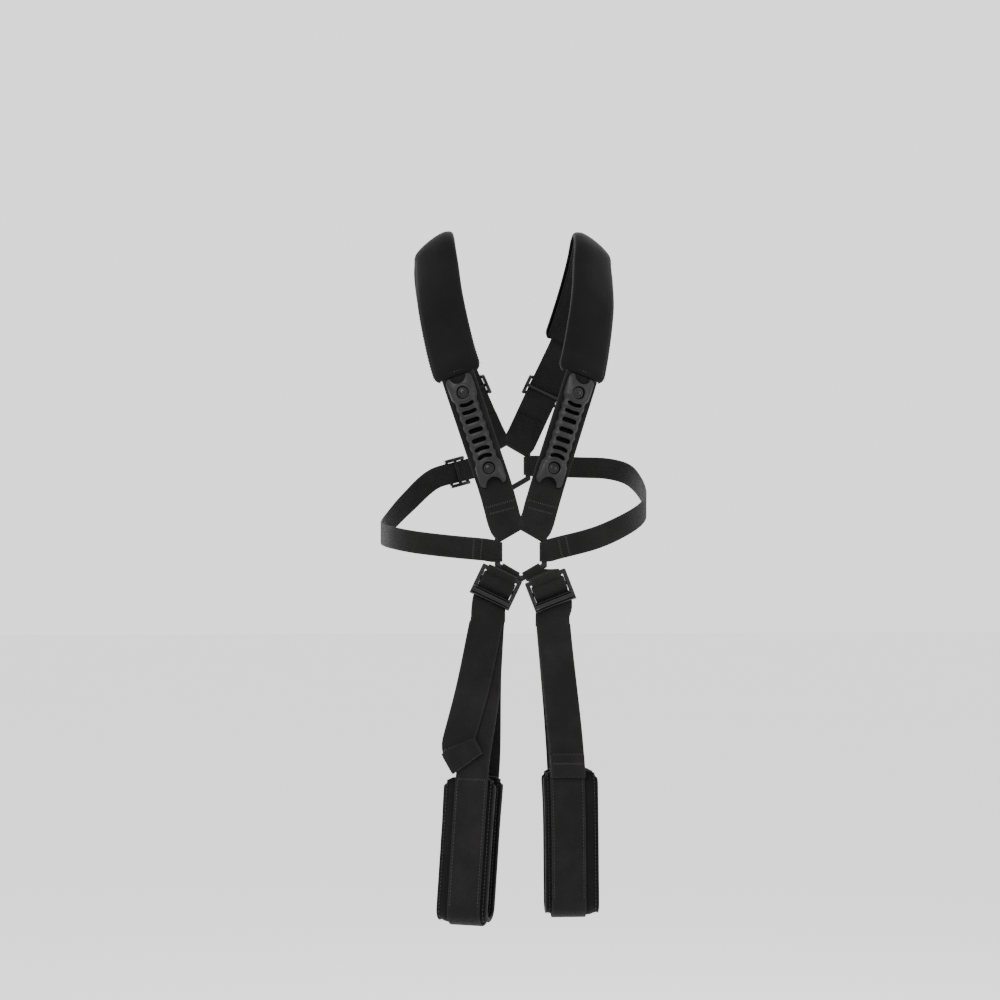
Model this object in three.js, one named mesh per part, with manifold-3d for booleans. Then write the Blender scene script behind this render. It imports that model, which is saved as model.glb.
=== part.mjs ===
// Harness vest: two padded shoulder straps with moulded hand grips run to a
// hexagonal ring on the breastbone and to a second one between the shoulder
// blades. A band joins the rings round each side of the chest, and two
// adjustable slings with padded cuffs hang from the front ring.
//
// Millimetres, +Z up. The wearer faces -Y and the wearer's left is +X. The
// origin is midway between the two shoulder crests that carry the harness.

import * as THREE from 'three';
import { mergeVertices } from 'three/addons/utils/BufferGeometryUtils.js';
import Module from 'manifold-3d';

// ---------------------------------------------------------------- sizes

// The body that the harness is made for.
const shoulderHalfSpan = 95;
const chestHalfWidth = 152;
const frontDepth = 118;
const backDepth = 109;
const frontRingDrop = 354;
const backRingDrop = 255;

// Webbing.
const strapWidth = 38;
const bandWidth = 25;
const routeStep = 8;
const webThickness = 2;
const fit = 0.35;
const softFit = 0.85;

// Rings: opening across flats, bar in the ring's plane, bar depth.
const ringOpening = 46;
const ringBar = 6.4;
const ringDepth = 4.8;
const ringLoopWidth = 22;
const ringLoopTab = 8;

// Shoulder pads.
const padWidth = 55;
const padFoam = 7;
const padCover = 1.6;
const padCorner = 9;
const padToGrip = 2;
const padToBackRing = 129;

// Grips.
const gripLength = 130;
const gripWidth = 24;
const gripEndWidth = 31;
const gripHeight = 9;
const gripToRing = 46;
const gripRivetInset = 20;
const rivetHead = 13;
const rivetShank = 4;
const rivetHeadHeight = 2.2;
const washerThickness = 1;

// Strap sliders.
const sliderRail = 4;
const sliderBar = 4;
const sliderLength = 24;
const sliderToBackRing = 66;
const bandSliderToBackRing = 26;

// Ladder-lock buckles.
const buckleSlack = 2;
const buckleInner = strapWidth + buckleSlack;
const buckleRail = 3.4;
const buckleBar = 4.4;
const buckleCentreBar = 13;
const buckleLipStart = 22;
const buckleLipEnd = 33.5;
const buckleLipFront = 5;
const buckleDepth = 126;

// Slings.
const tailThickness = 1.9;
const slingStem = 14;
const cuffWidth = 65;
const cuffThickness = 9;
const cuffGap = 14;
const cuffDrop = 167;
const tailHem = 26;
const twistEnd = 0.5;

// What differs between the wearer's two sides, as it is worn: how far the
// buckle's inner end lies inside the middle of its ring bar, the buckle's
// drop and tilt, the sling's sideways drift, its twist and its end, and how
// the band climbs from the front ring (0) to the back ring (1).
const sides = {
  left: {
    sign: 1,
    buckleInset: 9.5,
    buckleDrop: 6.3,
    buckleTilt: 21,
    hingeAside: 35,
    hingeDrop: 71,
    cuffAside: 49,
    footAside: 52,
    twist: 0,
    bottomDrop: 407,
    tailDrop: 250,
    tailDrift: 1,
    bandClimb: [0.025, 0.16, 0.3, 0.42, 0.53, 0.76, 0.9, 0.965, 0.98, 0.99, 1],
  },
  right: {
    sign: -1,
    buckleInset: 14.5,
    buckleDrop: 2.3,
    buckleTilt: 25.7,
    hingeAside: 37,
    hingeDrop: 67,
    cuffAside: 49,
    footAside: 60,
    twist: 24,
    bottomDrop: 415,
    tailDrop: 240,
    tailDrift: 24,
    bandClimb: [0.02, 0.07, 0.11, 0.15, 0.18, 0.23, 0.34, 0.56, 0.84, 0.92, 0.99],
  },
};

// ---------------------------------------------------------------- colours

function finish(colour, roughness, metalness = 0) {
  return new THREE.MeshStandardMaterial({ color: colour, roughness, metalness });
}

const webbing = finish(0x1d1b1b, 0.9);
const padFabric = finish(0x161616, 0.95);
const foam = finish(0x242424, 0.98);
const gripRubber = finish(0x3b3b3d, 0.6);
const gloss = finish(0x0e0e10, 0.25);
const ringBlack = finish(0x161616, 0.4);
const rivetMetal = finish(0x2c2c2e, 0.35, 0.8);

// ---------------------------------------------------------------- solids

const weld = 0.004;
const wasm = await Module();
wasm.setup();

function solidFrom(geometry) {
  const bare = geometry.clone();
  bare.deleteAttribute('normal');
  bare.deleteAttribute('uv');
  const merged = mergeVertices(bare, 1e-4);
  return new wasm.Manifold(new wasm.Mesh({
    numProp: 3,
    vertProperties: new Float32Array(merged.attributes.position.array),
    triVerts: new Uint32Array(merged.index.array),
  }));
}

// Corners closer than `weld` become one, and faces that this closes go.
function geometryFrom(solid) {
  const mesh = solid.getMesh();
  const loose = new THREE.BufferGeometry();
  loose.setAttribute('position', new THREE.BufferAttribute(mesh.vertProperties, 3));
  loose.setIndex(new THREE.BufferAttribute(mesh.triVerts, 1));
  const geometry = mergeVertices(loose, weld);
  const corners = Array.from(geometry.index.array);
  const kept = [];
  for (let i = 0; i < corners.length; i += 3) {
    const [a, b, c] = corners.slice(i, i + 3);
    if (a !== b && b !== c && c !== a) {
      kept.push(a, b, c);
    }
  }
  geometry.setIndex(kept);
  geometry.computeVertexNormals();
  return geometry;
}

function joined(geometries) {
  const solids = geometries.map(solidFrom);
  return geometryFrom(solids.reduce((sum, solid) => sum.add(solid)));
}

function cut(geometry, tools) {
  const solids = tools.map(solidFrom);
  return geometryFrom(solids.reduce((left, solid) => left.subtract(solid), solidFrom(geometry)));
}

// Moves every vertex with a function of its position.
function moved(geometry, map) {
  const result = geometry.clone();
  const position = result.attributes.position;
  const vertex = new THREE.Vector3();
  for (let i = 0; i < position.count; i += 1) {
    vertex.fromBufferAttribute(position, i);
    map(vertex);
    position.setXYZ(i, vertex.x, vertex.y, vertex.z);
  }
  result.computeVertexNormals();
  return result;
}

// The same shape on the wearer's other side, with its faces still outwards.
function onSide(geometry, sign) {
  if (sign > 0) {
    return geometry;
  }
  const result = geometry.index ? geometry.toNonIndexed() : geometry.clone();
  const position = result.attributes.position;
  for (let i = 0; i < position.count; i += 3) {
    const corners = [0, 2, 1].map((k) => new THREE.Vector3().fromBufferAttribute(position, i + k));
    corners.forEach((corner, k) => position.setXYZ(i + k, -corner.x, corner.y, corner.z));
  }
  result.computeVertexNormals();
  return result;
}

function box(width, depth, height, x, y, z) {
  return new THREE.BoxGeometry(width, depth, height).translate(x, y, z);
}

// Turns a geometry so its own X, Y and Z lie along three axes at a place.
function placed(geometry, origin, xAxis, yAxis) {
  const zAxis = new THREE.Vector3().crossVectors(xAxis, yAxis);
  const basis = new THREE.Matrix4().makeBasis(xAxis, yAxis, zAxis).setPosition(origin);
  return geometry.clone().applyMatrix4(basis);
}

// A closed skin over rings of points that each turn once about the way ahead.
function loft(rings) {
  const sidesOfRing = rings[0].length;
  const vertices = rings.flat().flatMap((point) => [point.x, point.y, point.z]);
  const faces = [];
  for (let i = 0; i < rings.length - 1; i += 1) {
    for (let j = 0; j < sidesOfRing; j += 1) {
      const near = i * sidesOfRing + j;
      const next = i * sidesOfRing + ((j + 1) % sidesOfRing);
      faces.push(near, next, next + sidesOfRing, near, next + sidesOfRing, near + sidesOfRing);
    }
  }
  const last = (rings.length - 1) * sidesOfRing;
  for (let j = 1; j < sidesOfRing - 1; j += 1) {
    faces.push(0, j + 1, j, last, last + j, last + j + 1);
  }
  const geometry = new THREE.BufferGeometry();
  geometry.setAttribute('position', new THREE.Float32BufferAttribute(vertices, 3));
  geometry.setIndex(faces);
  geometry.computeVertexNormals();
  return geometry;
}

// ---------------------------------------------------------------- routes

// A strap's middle line, with the way that its outer face looks.
class Route {
  constructor(points, outwards) {
    this.line = new THREE.CatmullRomCurve3(points, false, 'centripetal');
    this.line.arcLengthDivisions = 600;
    this.facing = new THREE.CatmullRomCurve3(outwards, false, 'centripetal');
    this.count = points.length - 1;
    this.outwards = outwards;
  }

  get length() {
    return this.line.getLength();
  }

  frame(distance) {
    const t = this.line.getUtoTmapping(0, THREE.MathUtils.clamp(distance, 0, this.length));
    const centre = this.line.getPoint(t);
    const along = this.line.getTangent(t);
    const step = Math.min(Math.floor(t * this.count), this.count - 1);
    const outward = this.outwards[step].clone().lerp(this.outwards[step + 1], t * this.count - step);
    outward.addScaledVector(along, -outward.dot(along)).normalize();
    const across = new THREE.Vector3().crossVectors(along, outward);
    return { centre, along, across, outward };
  }

  // The place that lies `across` and `out` from the line at a distance.
  place(distance, across, out) {
    const at = this.frame(distance);
    return at.centre.addScaledVector(at.across, across).addScaledVector(at.outward, out);
  }
}

// Distances along a route between two ends. Layers on one route share them,
// so that they stay parallel, and `extra` adds a layer's own.
function routeSteps(from, to, extra = []) {
  const inside = [...extra];
  for (let step = Math.ceil(from / routeStep + 0.3); step * routeStep < to - 0.3 * routeStep; step += 1) {
    inside.push(step * routeStep);
  }
  return [from, ...inside.sort((a, b) => a - b), to];
}

// A flat strip on a route between two distances. `widthAt` gives its width.
function strip(route, from, to, widthAt, thickness, out, extra = []) {
  const rings = [];
  for (const distance of routeSteps(from, to, extra)) {
    const half = widthAt(distance) / 2;
    const corners = [[half, 1], [half, -1], [-half, -1], [-half, 1]];
    rings.push(corners.map(([across, face]) => (
      route.place(distance, across, out + (face * thickness) / 2)
    )));
  }
  return loft(rings);
}

// Wraps a shape made flat along a route: its X runs across, its Y outwards
// and its Z along the route from a distance.
function wrapped(geometry, route, from) {
  return moved(geometry, (vertex) => {
    vertex.copy(route.place(from + vertex.z, -vertex.x, vertex.y));
  });
}

const towards = (x, y, z) => new THREE.Vector3(x, y, z).normalize();

// ---------------------------------------------------------------- rings

const ringMiddle = ringOpening / 2 + ringBar / 2;
const ringChamfer = 1.2;
const ringLoopHole = Math.hypot(ringBar / 2, ringDepth / 2 - ringChamfer) + 1.5 * fit;
const ringLoopOuter = ringLoopHole + webThickness;

function hexagon(apothem, corner) {
  const points = [];
  const side = (2 * apothem) / Math.sqrt(3);
  for (let i = 0; i < 6; i += 1) {
    const angle = THREE.MathUtils.degToRad(30 + 60 * i);
    points.push(new THREE.Vector2(Math.cos(angle) * side, Math.sin(angle) * side));
  }
  const outline = new THREE.Shape();
  points.forEach((point, i) => {
    const before = points[(i + 5) % 6].clone().sub(point).setLength(corner).add(point);
    const after = points[(i + 1) % 6].clone().sub(point).setLength(corner).add(point);
    if (i === 0) {
      outline.moveTo(before.x, before.y);
    } else {
      outline.lineTo(before.x, before.y);
    }
    outline.quadraticCurveTo(point.x, point.y, after.x, after.y);
  });
  outline.closePath();
  return outline;
}

function ring(depthPlace, drop) {
  const outline = hexagon(ringOpening / 2 + ringBar, 4);
  outline.holes.push(hexagon(ringOpening / 2, 2));
  const geometry = new THREE.ExtrudeGeometry(outline, {
    depth: ringDepth - 2 * ringChamfer,
    bevelThickness: ringChamfer,
    bevelSize: ringChamfer,
    bevelOffset: -ringChamfer,
    bevelSegments: 1,
    curveSegments: 3,
  });
  geometry.translate(0, 0, ringChamfer - ringDepth / 2);
  geometry.rotateX(Math.PI / 2);
  return geometry.translate(0, depthPlace, -drop);
}

// The middle of a ring's bar, whose face looks away from the ring's centre at
// an angle from +X, and the way it looks.
function barMiddle(depthPlace, drop, angle) {
  const turn = THREE.MathUtils.degToRad(angle);
  const away = new THREE.Vector3(Math.cos(turn), 0, Math.sin(turn));
  const middle = new THREE.Vector3(0, depthPlace, -drop).addScaledVector(away, ringMiddle);
  return { middle, away };
}

// An eye of webbing with a sewn tab, in its own X (along the tab) and Y.
function eyeShape(hole, outer, tabLength, tabThickness, tabOffset) {
  const top = tabOffset + tabThickness / 2;
  const bottom = tabOffset - tabThickness / 2;
  const from = Math.asin(top / outer);
  const to = Math.asin(bottom / outer) + 2 * Math.PI;
  const outline = new THREE.Shape();
  outline.moveTo(tabLength, bottom);
  outline.lineTo(tabLength, top);
  outline.lineTo(outer * Math.cos(from), top);
  outline.absarc(0, 0, outer, from, to, false);
  outline.closePath();
  if (hole > 0) {
    outline.holes.push(new THREE.Path().absarc(0, 0, hole, 0, 2 * Math.PI, true));
  }
  return outline;
}

// That eye as a solid round a bar at a place, with its tab along `away` and
// its outer side towards `front`.
function eye(hole, outer, width, tabLength, tabOffset, middle, away, front) {
  const outline = eyeShape(hole, outer, tabLength, 2 * webThickness, tabOffset);
  const geometry = new THREE.ExtrudeGeometry(outline, {
    depth: width,
    bevelEnabled: false,
    curveSegments: 8,
  });
  geometry.translate(0, 0, -width / 2);
  return placed(geometry, middle, away, front);
}

function ringEye(middle, away, front) {
  return eye(ringLoopHole, ringLoopOuter, ringLoopWidth, ringLoopTab + 2, 0.5, middle, away, front);
}

// ---------------------------------------------------------------- shoulder straps

const front = towards(0, -1, 0);
const back = towards(0, 1, 0);
const upperBar = 60;
const frontUpper = barMiddle(-frontDepth, frontRingDrop, upperBar);
const backUpper = barMiddle(backDepth, backRingDrop, upperBar);

// From the front ring over the shoulder to the back ring: how far out from
// the middle, how far in front (-) or behind (+), how far down, and the way
// the outer face looks. The three are shares of the span, depth and drop.
const strapStations = [
  [0.298, -1.021, 0.802, [0.06, -1, 0.06]],
  [0.445, -0.973, 0.681, [0.12, -1, 0.1]],
  [0.592, -0.925, 0.56, [0.18, -1, 0.15]],
  [0.738, -0.877, 0.44, [0.26, -0.95, 0.22]],
  [0.824, -0.746, 0.356, [0.34, -0.88, 0.34]],
  [0.939, -0.508, 0.192, [0.45, -0.72, 0.52]],
  [0.973, -0.297, 0.089, [0.54, -0.5, 0.68]],
  [0.994, -0.132, 0.02, [0.61, -0.24, 0.75]],
  [1, 0, 0, [0.63, 0, 0.78]],
  [0.994, 0.15, 0.018, [0.61, 0.24, 0.75]],
  [0.979, 0.321, 0.082, [0.56, 0.5, 0.66]],
  [0.895, 0.596, 0.235, [0.45, 0.72, 0.5]],
  [0.737, 0.807, 0.431, [0.3, 0.92, 0.25]],
  [0.653, 0.844, 0.502, [0.24, 0.95, 0.2]],
  [0.471, 0.924, 0.647, [0.14, 1, 0.12]],
  [0.289, 1.004, 0.796, [0.08, 1, 0.06]],
];

function shoulderRoute() {
  const start = frontUpper.middle.clone().addScaledVector(frontUpper.away, ringLoopTab);
  const end = backUpper.middle.clone().addScaledVector(backUpper.away, ringLoopTab);
  const stations = strapStations.map(([out, deep, down]) => new THREE.Vector3(
    out * shoulderHalfSpan,
    deep * (deep < 0 ? frontDepth : backDepth),
    -down * (deep < 0 ? frontRingDrop : backRingDrop),
  ));
  const looks = strapStations.map(([, , , look]) => towards(...look));
  start.y -= 1;
  end.y += 1;
  return new Route([start, ...stations, end], [front, ...looks, back]);
}

const shoulder = shoulderRoute();
const strapTaper = 20;

// Full width, drawn in to the width of the loops near both rings.
function strapWidthAt(distance) {
  const toEnd = Math.min(distance, shoulder.length - distance);
  const share = THREE.MathUtils.smoothstep(toEnd, 0, strapTaper);
  return THREE.MathUtils.lerp(ringLoopWidth, strapWidth, share);
}

const gripStart = gripToRing;
const padStart = gripStart + gripLength + padToGrip;
const padEnd = shoulder.length - padToBackRing;
const rivetPlaces = {
  lower: gripStart + gripRivetInset,
  upper: gripStart + gripLength - gripRivetInset,
};

// A round bar that stands out from the strap, as a lathe of [radius, height].
function turned(profile, distance) {
  const points = profile.map(([radius, height]) => new THREE.Vector2(radius, height));
  const geometry = new THREE.LatheGeometry(points, 20);
  return geometry.translate(0, 0, distance);
}

function shoulderStrap() {
  const band = strip(shoulder, 0, shoulder.length, strapWidthAt, webThickness, 0);
  const loops = [
    ringEye(frontUpper.middle, frontUpper.away, front),
    ringEye(backUpper.middle, backUpper.away, back),
  ];
  const holeRadius = rivetShank / 2 + fit;
  const reach = webThickness;
  const holes = Object.values(rivetPlaces).map((distance) => wrapped(
    turned([[0, -reach], [holeRadius, -reach], [holeRadius, reach], [0, reach]], distance),
    shoulder,
    0,
  ));
  return cut(joined([band, ...loops]), holes);
}

// ---------------------------------------------------------------- shoulder pads

function padWidthAt(distance) {
  const toEnd = Math.min(distance - padStart, padEnd - distance);
  const inset = padCorner - Math.min(toEnd, padCorner);
  const drawnIn = padCorner - Math.sqrt(padCorner ** 2 - inset ** 2);
  return padWidth - 2 * drawnIn;
}

function padLayer(thickness, out) {
  const rounding = [0.25, 0.6, 1].flatMap((share) => [
    padStart + share * padCorner,
    padEnd - share * padCorner,
  ]);
  return strip(shoulder, padStart, padEnd, padWidthAt, thickness, out, rounding);
}

const padFoamLayer = () => padLayer(padFoam, -(webThickness / 2 + softFit + padFoam / 2));
const padCoverLayer = () => padLayer(padCover, webThickness / 2 + softFit + padCover / 2);

// ---------------------------------------------------------------- grips

const gripBase = webThickness / 2 + fit;
const gripFloor = 2.6;
const gripWall = 2.6;

function gripHalfWidthAt(place) {
  const toEnd = Math.min(place, gripLength - place);
  const share = THREE.MathUtils.smoothstep(toEnd, gripRivetInset * 0.9, gripRivetInset * 1.7);
  return THREE.MathUtils.lerp(gripEndWidth, gripWidth, share) / 2;
}

// The top is highest along the middle of the grip and falls to a low lip at
// the ends and the long edges.
function gripHeightAt(place) {
  const toEnd = Math.min(place, gripLength - place);
  return THREE.MathUtils.lerp(0.62, 1, THREE.MathUtils.smoothstep(toEnd, 0, gripRivetInset)) * gripHeight;
}

function gripBlank() {
  const steps = 26;
  const rings = [];
  for (let i = 0; i <= steps; i += 1) {
    const place = (gripLength * i) / steps;
    const half = gripHalfWidthAt(place);
    const height = gripHeightAt(place);
    const corners = [
      [half, 0], [half, gripFloor], [half * 0.72, height],
      [-half * 0.72, height], [-half, gripFloor], [-half, 0],
    ];
    rings.push(corners.map(([across, out]) => new THREE.Vector3(across, gripBase + out, place)));
  }
  return loft(rings);
}

// An oblong hole right through the grip, across it.
function gripSlot(place, width, length) {
  const outline = new THREE.Shape();
  const straight = (width - length) / 2;
  outline.moveTo(-straight, -length / 2);
  outline.lineTo(straight, -length / 2);
  outline.absarc(straight, 0, length / 2, -Math.PI / 2, Math.PI / 2, false);
  outline.lineTo(-straight, length / 2);
  outline.absarc(-straight, 0, length / 2, Math.PI / 2, 1.5 * Math.PI, false);
  return slotTool(outline, place);
}

// A crescent hole that curves round the rivet nearest to it.
function gripCrescent(rivetPlace, radius, thickness, towardsMiddle) {
  const reach = Math.asin((gripWidth / 2 - gripWall) / (radius + thickness / 2));
  const aim = (towardsMiddle * Math.PI) / 2;
  const outline = new THREE.Shape();
  outline.absarc(0, 0, radius + thickness / 2, aim - reach, aim + reach, false);
  outline.absarc(0, 0, radius - thickness / 2, aim + reach, aim - reach, true);
  outline.closePath();
  return slotTool(outline, rivetPlace);
}

function slotTool(outline, place) {
  const depth = 3 * gripHeight;
  const tool = new THREE.ExtrudeGeometry(outline, { depth, bevelEnabled: false, curveSegments: 4 });
  tool.rotateX(Math.PI / 2);
  tool.translate(0, 2 * gripHeight, 0);
  return tool.rotateZ(Math.PI).translate(0, 2 * gripHeight, place);
}

function gripBody() {
  const rivetNear = gripRivetInset;
  const rivetFar = gripLength - gripRivetInset;
  const slots = [-1, 0, 1].map((step) => (
    gripSlot(gripLength / 2 + step * 11.6, gripWidth - 2 * gripWall - 2.4, 5)
  ));
  const crescents = [14.6, 23.6].flatMap((radius) => [
    gripCrescent(rivetNear, radius, 4.2, 1),
    gripCrescent(rivetFar, radius, 4.2, -1),
  ]);
  const seatRadius = rivetHead / 2 + fit;
  const holeRadius = rivetShank / 2 + fit;
  const seatFloor = gripBase + gripFloor + 1.4;
  const seatTop = gripBase + 2 * gripHeight;
  const profile = [
    [0, -gripHeight], [holeRadius, -gripHeight], [holeRadius, seatFloor],
    [seatRadius, seatFloor], [seatRadius, seatTop], [0, seatTop],
  ];
  const seats = [rivetNear, rivetFar].map((place) => turned(profile, place));
  const notch = gripEndWidth * 0.3;
  const notches = [0, gripLength].map((place) => (
    turned([[0, -gripHeight], [notch, -gripHeight], [notch, seatTop], [0, seatTop]], place)
  ));
  return wrapped(cut(gripBlank(), [...slots, ...crescents, ...seats, ...notches]), shoulder, gripStart);
}

// The rivet clamps the grip on the strap: a domed head in its seat, a shank
// through grip and webbing, and a tail that is spread behind the washer.
function rivet(distance) {
  const seat = gripBase + gripFloor + 1.4 + fit;
  const head = rivetHead / 2;
  const shank = rivetShank / 2;
  const washerBack = -(webThickness / 2 + fit + washerThickness + fit);
  const profile = [
    [0, washerBack - 1.2], [shank + 1.4, washerBack - 1.2], [shank + 1.4, washerBack],
    [shank, washerBack], [shank, seat], [head, seat], [head, seat + rivetHeadHeight * 0.45],
    [head * 0.62, seat + rivetHeadHeight * 0.9], [0, seat + rivetHeadHeight],
  ];
  return wrapped(turned(profile, distance), shoulder, 0);
}

function washer(distance) {
  const outerFace = -(webThickness / 2 + fit);
  const innerFace = outerFace - washerThickness;
  const hole = rivetShank / 2 + fit;
  const rim = rivetHead / 2;
  const profile = [
    [hole, innerFace], [rim, innerFace], [rim, outerFace], [hole, outerFace], [hole, innerFace],
  ];
  return wrapped(turned(profile, distance), shoulder, 0);
}

// ---------------------------------------------------------------- sliders

// A three-bar slider: the webbing lies behind its outer bars and in front of
// its centre bar.
function slider(width) {
  const inner = width + 1.6;
  const outer = inner + 2 * sliderRail;
  const bars = webThickness / 2 + softFit;
  const high = bars + sliderBar / 2;
  const rails = [-1, 1].map((side) => box(
    sliderRail, 2 * bars + 1.6 * sliderBar, sliderLength,
    (side * (inner + sliderRail)) / 2, 0.2 * sliderBar, 0,
  ));
  const ends = [-1, 1].map((side) => box(
    outer, sliderBar, sliderBar,
    0, high, (side * (sliderLength - sliderBar)) / 2,
  ));
  const centre = box(outer, sliderBar * 0.6, sliderBar, 0, -(bars + sliderBar * 0.3), 0);
  return joined([...rails, ...ends, centre]);
}

// A slider keeps its shape, so it is set on a route without being bent.
function sliderOn(route, distance, width) {
  const at = route.frame(distance);
  return placed(slider(width), at.centre, at.across, at.outward);
}

// ---------------------------------------------------------------- chest band

const torsoSquareness = 3;
const bandAngles = [6.6, 25.1, 43.7, 62.2, 80.7, 99.3, 117.8, 136.3, 154.2];

// A point on the chest's rounded outline, an angle round from the front.
function torsoPoint(angle) {
  const turn = THREE.MathUtils.degToRad(angle);
  const power = 2 / torsoSquareness;
  const deep = Math.abs(Math.cos(turn)) ** power;
  const depth = turn < Math.PI / 2 ? -frontDepth : backDepth;
  return new THREE.Vector2(chestHalfWidth * Math.sin(turn) ** power, depth * deep);
}

function bandRoute(side) {
  const frontBar = barMiddle(-frontDepth, frontRingDrop, 0).middle;
  const backBar = barMiddle(backDepth, backRingDrop, 0).middle;
  const places = bandAngles.map(torsoPoint);
  const lastBend = places[places.length - 1];
  const ringEnd = new THREE.Vector2(backBar.x + ringLoopTab, backDepth);
  places[0].set(frontBar.x + ringLoopTab, -frontDepth);
  places.push(lastBend.clone().lerp(ringEnd, 0.5), ringEnd);
  const points = places.map((place, i) => new THREE.Vector3(
    place.x,
    place.y,
    THREE.MathUtils.lerp(-frontRingDrop, -backRingDrop, side.bandClimb[i]),
  ));
  const looks = places.map((place) => {
    const depth = place.y < 0 ? frontDepth : backDepth;
    const x = (place.x / chestHalfWidth) ** 2 / chestHalfWidth;
    const y = (Math.sign(place.y) * (place.y / depth) ** 2) / depth;
    return towards(x, y, 0);
  });
  looks[0] = front;
  looks[looks.length - 2] = looks[looks.length - 3];
  looks[looks.length - 1] = back;
  return new Route(points, looks);
}

function chestBand(route) {
  const widthAt = (distance) => {
    const toEnd = Math.min(distance, route.length - distance);
    return THREE.MathUtils.lerp(ringLoopWidth, bandWidth, THREE.MathUtils.smoothstep(toEnd, 0, 6));
  };
  const band = strip(route, 0, route.length, widthAt, webThickness, 0);
  const frontBar = barMiddle(-frontDepth, frontRingDrop, 0);
  const backBar = barMiddle(backDepth, backRingDrop, 0);
  return joined([
    band,
    ringEye(frontBar.middle, frontBar.away, front),
    ringEye(backBar.middle, backBar.away, back),
  ]);
}

// ---------------------------------------------------------------- ladder-lock buckles

const barChamfer = 0.8;
const buckleHole = Math.hypot(buckleBar / 2, buckleBar / 2 - barChamfer) + 1.5 * fit;
const buckleLoop = buckleHole + webThickness - 0.1;
const lowerBar = -60;
const frontLower = barMiddle(-frontDepth, frontRingDrop, lowerBar);

// Places and axes of one side's buckle, for the wearer's left.
function buckleFrame(side) {
  const tilt = THREE.MathUtils.degToRad(side.buckleTilt);
  const along = new THREE.Vector3(Math.cos(tilt), 0, Math.sin(tilt));
  const down = new THREE.Vector3(Math.sin(tilt), 0, -Math.cos(tilt));
  const top = new THREE.Vector3(
    frontLower.middle.x + buckleInner / 2 + buckleRail - side.buckleInset,
    -buckleDepth,
    frontLower.middle.z - side.buckleDrop,
  );
  return { along, down, top };
}

function roundedBar(width, from, to) {
  const outline = new THREE.Shape();
  const half = width / 2 - barChamfer;
  outline.moveTo(-half, -to + barChamfer);
  outline.lineTo(half, -to + barChamfer);
  outline.lineTo(half, -from - barChamfer);
  outline.lineTo(-half, -from - barChamfer);
  outline.closePath();
  const geometry = new THREE.ExtrudeGeometry(outline, {
    depth: buckleBar - 2 * barChamfer,
    bevelThickness: barChamfer,
    bevelSize: barChamfer,
    bevelSegments: 1,
  });
  geometry.translate(0, 0, barChamfer - buckleBar / 2);
  return geometry.rotateX(Math.PI / 2);
}

// Made with its top bar on X at the origin and its lip below, facing -Y.
function ladderBuckle() {
  const outer = buckleInner + 2 * buckleRail;
  const end = buckleBar / 2;
  const rails = [-1, 1].map((side) => (
    roundedBar(buckleRail, -end, buckleLipEnd).translate((side * (buckleInner + buckleRail)) / 2, 0, 0)
  ));
  const top = roundedBar(outer - 2, -end, end);
  const centre = roundedBar(outer - 2, buckleCentreBar - end, buckleCentreBar + end);
  const lipBack = fit;
  const lip = new THREE.Shape();
  lip.moveTo(lipBack, -buckleLipStart);
  lip.lineTo(lipBack, -buckleLipEnd + 1.5);
  lip.quadraticCurveTo(lipBack, -buckleLipEnd, lipBack - 1.5, -buckleLipEnd);
  lip.quadraticCurveTo(-buckleLipFront, -buckleLipEnd + 0.5, -buckleLipFront, -buckleLipEnd + 4);
  lip.lineTo(-buckleLipFront, -buckleLipStart - 2.5);
  lip.quadraticCurveTo(-buckleLipFront, -buckleLipStart, -buckleLipFront + 2.5, -buckleLipStart);
  lip.closePath();
  const lipBar = new THREE.ExtrudeGeometry(lip, {
    depth: outer - 0.6,
    bevelEnabled: false,
    curveSegments: 3,
  });
  lipBar.translate(0, 0, -(outer - 0.6) / 2);
  const across = placed(lipBar, new THREE.Vector3(), towards(0, 1, 0), towards(0, 0, 1));
  const channelStart = buckleCentreBar + 6.5;
  const channel = box(
    2 * outer, buckleBar, 2 * buckleLipEnd,
    0, lipBack + buckleBar / 2, -channelStart - buckleLipEnd,
  );
  return joined([cut(joined([...rails, top, centre]), [channel]), across]);
}

function buckleOn(side) {
  const at = buckleFrame(side);
  const basis = new THREE.Matrix4().makeBasis(at.along, back, at.down.clone().negate());
  return ladderBuckle().applyMatrix4(basis.setPosition(at.top));
}

// A rod or disc whose axis is Z.
function disc(radius, width, x) {
  return new THREE.CylinderGeometry(radius, radius, width, 20).rotateX(Math.PI / 2).translate(x, 0, 0);
}

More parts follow.
